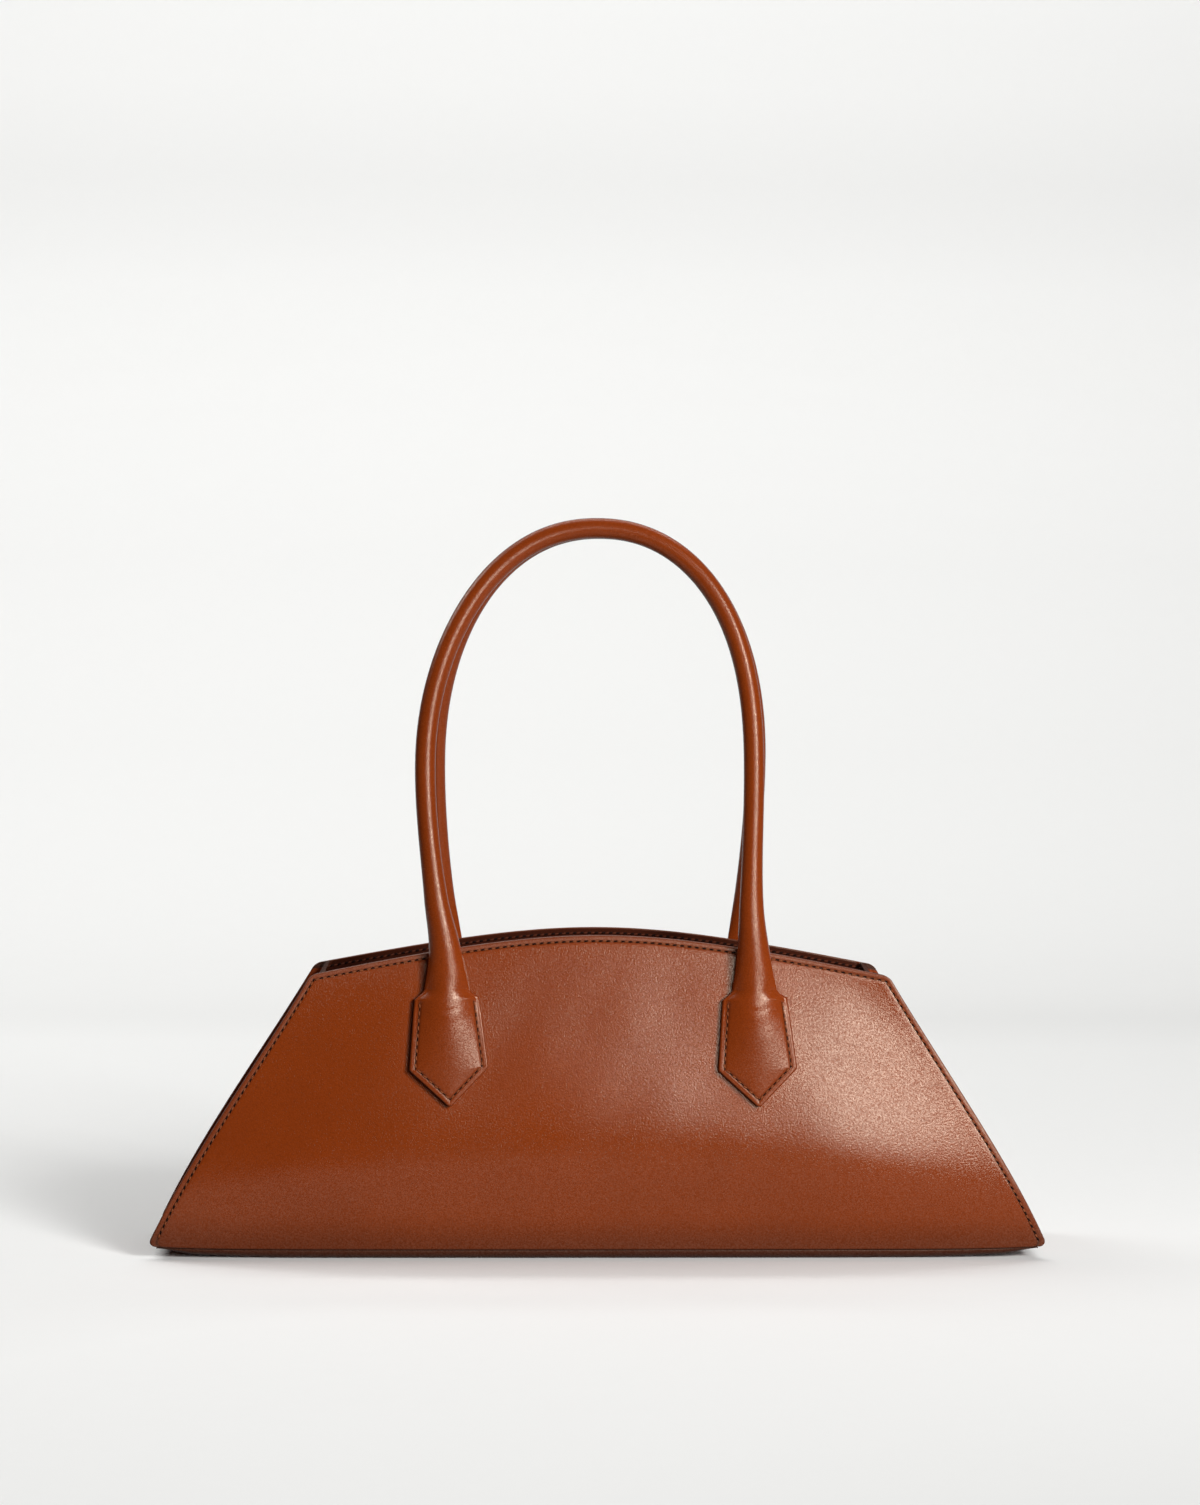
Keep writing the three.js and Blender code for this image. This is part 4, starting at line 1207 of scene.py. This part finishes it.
class BAG_OT_linings(bpy.types.Operator):
    """Twill linings of the front, back, ends and floor, slack in shallow folds"""

    bl_idname = "bag.linings"
    bl_label = "Linings"

    def walls(self):
        """Front and back linings: the wall moved in, with folds that lean and fade at the seams."""
        share = np.linspace(-1, 1, 161)
        rise = wall_rise(share)
        t = np.linspace(0, 1, 70)[:, None]
        v = lerp(LAYER_RISE / rise, 1 - (FACING_WIDTH + CLEARANCE) / rise, t)
        reach = wall_x(v) - LAYER_MARGIN
        x = share * reach
        z = wall_z(x / wall_x(v), v)
        distance = np.minimum(np.minimum(t, 1 - t) * 110.0, (reach - np.abs(x)))
        for name, turn, phase, _ in HALVES:
            fold = np.sin(x / 23.0 + z / 60.0 + phase)
            fold = fold + 0.6 * np.sin(x / 11.0 - z / 38.0 + 2 * phase)
            fold = (fold + 1.6) * 0.45 * smooth(distance / 24.0)
            piece = add_sheet(
                f"{name}_lining_cloth", lambda depth: wall_point(x, v, depth + fold), distance,
                LINING_FRONT, LINING_BACK, LINING_EDGE, material("twill_lining"), turn, woven(x, z),
            )
            fit(piece, "bag", [f"{name}_lining"])

    def ends(self):
        """End linings: the gusset's web moved in, with the same dish."""
        across = np.linspace(-1, 1, 41)
        t = np.linspace(0, 1, 60)[:, None]
        low = LAYER_RISE / wall_rise(np.array(1.0))
        v = lerp(low, 1 - (GUSSET_DIP + FACING_WIDTH) / SIDE_LENGTH, t)

        def place(depth):
            x = wall_x(v) - depth - dish(v, across)
            u = x / wall_x(v)
            return stack(x, across * (half_depth(u, v) - LINING_BACK - CLEARANCE), wall_z(u, v))

        distance = np.minimum(np.minimum(t, 1 - t) * 105.0, (1 - np.abs(across)) * 30.0)
        inner = LAYER_MARGIN + LINING_THICKNESS / SIDE_COSINE
        flat = place(LAYER_MARGIN)
        for name, turn in (("right", 0.0), ("left", math.pi)):
            piece = add_sheet(
                f"{name}_lining_cloth", place, distance, LAYER_MARGIN, inner, LINING_EDGE,
                material("twill_lining"), turn, woven(flat[..., 1], flat[..., 2]),
            )
            fit(piece, "bag", [f"{name}_lining"])

    def floor(self):
        """Floor lining: level cloth on the base board, a little raised in soft ripples."""
        low, high = LAYER_RISE, LAYER_RISE + LINING_THICKNESS
        reach = float(wall_x(high / wall_rise(np.array(1.0)))) - LAYER_MARGIN
        x = np.linspace(-reach, reach, 161)
        u = x / wall_x(0.0)
        half = half_depth(u, 0.0) - LINING_BACK - CLEARANCE
        across = np.linspace(-1, 1, 41)[:, None]
        distance = np.minimum((1 - np.abs(across)) * half, reach - np.abs(x))
        ripple = (np.sin(x / 17.0 + 3 * across) + 1) * 0.35 * smooth(distance / 12.0)
        y = across * half
        piece = add_sheet(
            "base_lining_cloth", lambda rise: stack(x, y, seam_z(u) + rise + ripple), distance,
            low, high, LINING_EDGE, material("twill_lining"), marks=woven(x, y),
        )
        fit(piece, "bag", ["base_lining"])

    def execute(self, context):
        self.walls()
        self.ends()
        self.floor()
        return {"FINISHED"}


class BAG_OT_handles(bpy.types.Operator):
    """Rolled handles, each one piece of leather with its two tabs, and the cords inside them"""

    bl_idname = "bag.handles"
    bl_label = "Handles"

    def execute(self, context):
        for name, turn, sway, tab_turn in HALVES:
            points, marks = handle_points(sway, tab_turn)
            ones = np.ones(points.shape[:2])
            marks = {key: (value * ones).ravel() for key, value in marks.items()}
            leather_piece = add_tube(
                f"{name}_handle_leather", turned(points, turn), material("handle_hide"), marks
            )
            points, lay = core_points(sway)
            cord = add_tube(
                f"{name}_handle_cord", turned(points, turn), material("cotton_cord"),
                {"lay": lay.reshape(-1, 3)},
            )
            for piece in (leather_piece, cord):
                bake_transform(piece)
            nodes = [f"{name}_handle_wrap", f"{name}_left_tab", f"{name}_right_tab"]
            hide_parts(*nodes)
            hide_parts(f"{name}_handle_core")
        return {"FINISHED"}


class BAG_OT_tab_backings(bpy.types.Operator):
    """Backings: the second ply under each tab, a little smaller than the tab"""

    bl_idname = "bag.tab_backings"
    bl_label = "Tab backings"

    def execute(self, context):
        z = steps(
            (TAB_TIP + BACKING_MARGIN, 71.0, 8), (71.0, 84.0, 10), (84.0, 87.0, 7),
            (87.0, TAB_SHOULDER - 1.0, 20), (TAB_SHOULDER - 1.0, TAB_SHOULDER, 6),
        )[:, None]
        half = tab_half(z) - BACKING_MARGIN
        x = -half * np.cos(np.linspace(0, math.pi, 41))
        distance = np.minimum(tab_edge(x, z, half), np.minimum(z - z[0], z[-1] - z))
        for name, turn, _, tab_turn in HALVES:
            for side, place in tabs(turn, tab_turn):
                piece = add_sheet(
                    f"{name}_{side}_tab_backing_leather", partial(place, x, z), distance, CLEARANCE,
                    CLEARANCE + BACKING_THICKNESS, 0.4, material("tan_hide"), turn,
                )
                fit(piece, "bag", [f"{name}_{side}_tab_backing"])
        return {"FINISHED"}


class BAG_OT_stitching(bpy.types.Operator):
    """Stitches of the panels, facings and tabs"""

    bl_idname = "bag.stitching"
    bl_label = "Stitching"

    def execute(self, context):
        sewing = context.scene.bag_sewing
        lines = panel_lines(sewing.top_inset / MM, sewing.side_inset / MM)
        low_line = panel_lines(FACING_WIDTH - 2.0, LAYER_MARGIN)[1]
        tab = tab_line(sewing.tab_inset / MM)
        outside, inside = material("sewing_thread"), material("inner_thread")
        out, back = (0.0, -1.0, 0.0), (0.0, 1.0, 0.0)

        def on_panel(x, z):
            return on_wall(x, z, -PANEL_GROOVE)

        def on_facing(x, z):
            return on_wall(x, z, -FACING_BACK, 0.0)

        for name, turn, _, tab_turn in HALVES:
            runs = [stitch_run(line, on_panel, out, sewing) for line in lines]
            add_stitching(f"{name}_panel_stitching", runs, outside, turn)
            runs = [stitch_run(line, on_facing, back, sewing) for line in (lines[1], low_line)]
            add_stitching(f"{name}_facing_stitching", runs, inside, turn)
            for side, place in tabs(turn, tab_turn):

                def on_tab(x, z):
                    lift = TAB_SEAT + tab_crown(x, z, tab_half(z)) - TAB_GROOVE
                    return place(x, z, lift)

                run = stitch_run(tab, on_tab, out, sewing)
                add_stitching(f"{name}_{side}_tab_stitching", [run], outside, turn)
        return {"FINISHED"}


class BAG_OT_snap(bpy.types.Operator):
    """Magnetic snap: two turned discs on the facings, one with a socket and one with a stud"""

    bl_idname = "bag.snap"
    bl_label = "Snap"

    def profile(self, stud):
        """Radius and height of a half: back, rounded rim, ring groove, then stud or socket."""
        angle = np.linspace(0, math.pi / 2, 7)
        rim = SNAP_ROUND * (np.stack([np.cos(angle), np.sin(angle)], axis=1) - 1) + (SNAP_RADIUS, 0)
        ring = (6.9, 0), (6.7, -0.25), (6.3, -0.25), (6.1, 0)
        if stud:
            middle = (3.3, 0), (3.0, 0.2), (3.0, 1.4), (2.9, 1.7), (2.5, 1.8), (0.02, 1.8)
        else:
            middle = (3.9, 0), (3.5, -0.1), (3.3, -0.4), (3.3, -1.8), (0.02, -1.8)
        front = np.concatenate([rim, ring, middle]) + (0, SNAP_THICKNESS)
        return np.concatenate([[(0.02, 0), (7.9, 0)], front]).T[..., None]

    def execute(self, context):
        z = BODY_HEIGHT - SNAP_DROP
        drop = wall_half(np.array(0.0), np.array([z - SNAP_RADIUS, z + SNAP_RADIUS]))
        tilt = math.atan2(float(drop[0] - drop[1]), 2 * SNAP_RADIUS)
        place = np.array([0.0, FACING_BACK + CLEARANCE - float(wall_half(np.array(0.0), z)), z])
        axis = np.array([0.0, math.cos(tilt), -math.sin(tilt)])
        upward = np.array([0.0, math.sin(tilt), math.cos(tilt)])
        sideways = np.array([1.0, 0.0, 0.0])
        angle = np.arange(64)[:, None] * 2 * math.pi / 64
        spin = np.cos(angle) * sideways + np.sin(angle) * upward
        for name, turn, stud in (("snap_socket", 0.0, False), ("snap_stud", math.pi, True)):
            radius, height = self.profile(stud)
            points = turned(place + radius[..., None] * spin + height[..., None] * axis, turn)
            lay = stack(radius * MM * 40, 0 * angle[:, 0], 0.0).reshape(-1, 3)
            piece = add_tube(f"{name}_metal", points, material("plated_snap"), {"lay": lay})
            fit(piece, "bag", [name])
        return {"FINISHED"}


class BAG_OT_boards(bpy.types.Operator):
    """Finish of the hidden CAD nodes that stay: the stiffeners and the base board"""

    bl_idname = "bag.boards"
    bl_label = "Boards"

    def execute(self, context):
        for name in ("front_stiffener", "back_stiffener", "base_board"):
            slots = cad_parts[name].data.materials
            slots.clear()
            slots.append(material("fibre_board"))
        return {"FINISHED"}


GROUPS = (
    ("bag_look", BagLook),
    ("bag_sewing", BagSewing),
    ("bag_inside", BagInside),
    ("bag_stage", BagStage),
)
OPERATORS = (
    BAG_OT_stage, BAG_OT_panels, BAG_OT_gussets, BAG_OT_base, BAG_OT_facings, BAG_OT_linings,
    BAG_OT_handles, BAG_OT_tab_backings, BAG_OT_stitching, BAG_OT_snap, BAG_OT_boards,
)


class BAG_PT_sidebar(bpy.types.Panel):
    """Settings of the bag and the steps that build it"""

    bl_idname = "BAG_PT_sidebar"
    bl_label = "Handbag"
    bl_space_type = "VIEW_3D"
    bl_region_type = "UI"
    bl_category = "Handbag"

    def draw(self, context):
        for operator in OPERATORS:
            self.layout.operator(operator.bl_idname)
        for group, kind in GROUPS:
            column = self.layout.column(heading=kind.__doc__)
            for key in kind.__annotations__:
                column.prop(getattr(context.scene, group), key)


CLASSES = (*(kind for _, kind in GROUPS), *OPERATORS, BAG_PT_sidebar)


def register():
    for kind in CLASSES:
        bpy.utils.register_class(kind)
    for group, kind in GROUPS:
        setattr(bpy.types.Scene, group, PointerProperty(type=kind))


def unregister():
    for group, _ in GROUPS:
        delattr(bpy.types.Scene, group)
    for kind in reversed(CLASSES):
        bpy.utils.unregister_class(kind)


def main():
    """Builds every piece in order, then writes the CAD box and the visual box."""
    register()
    for operator in OPERATORS:
        group, step = operator.bl_idname.split(".")
        getattr(getattr(bpy.ops, group), step)()


if __name__ == "__main__":
    main()
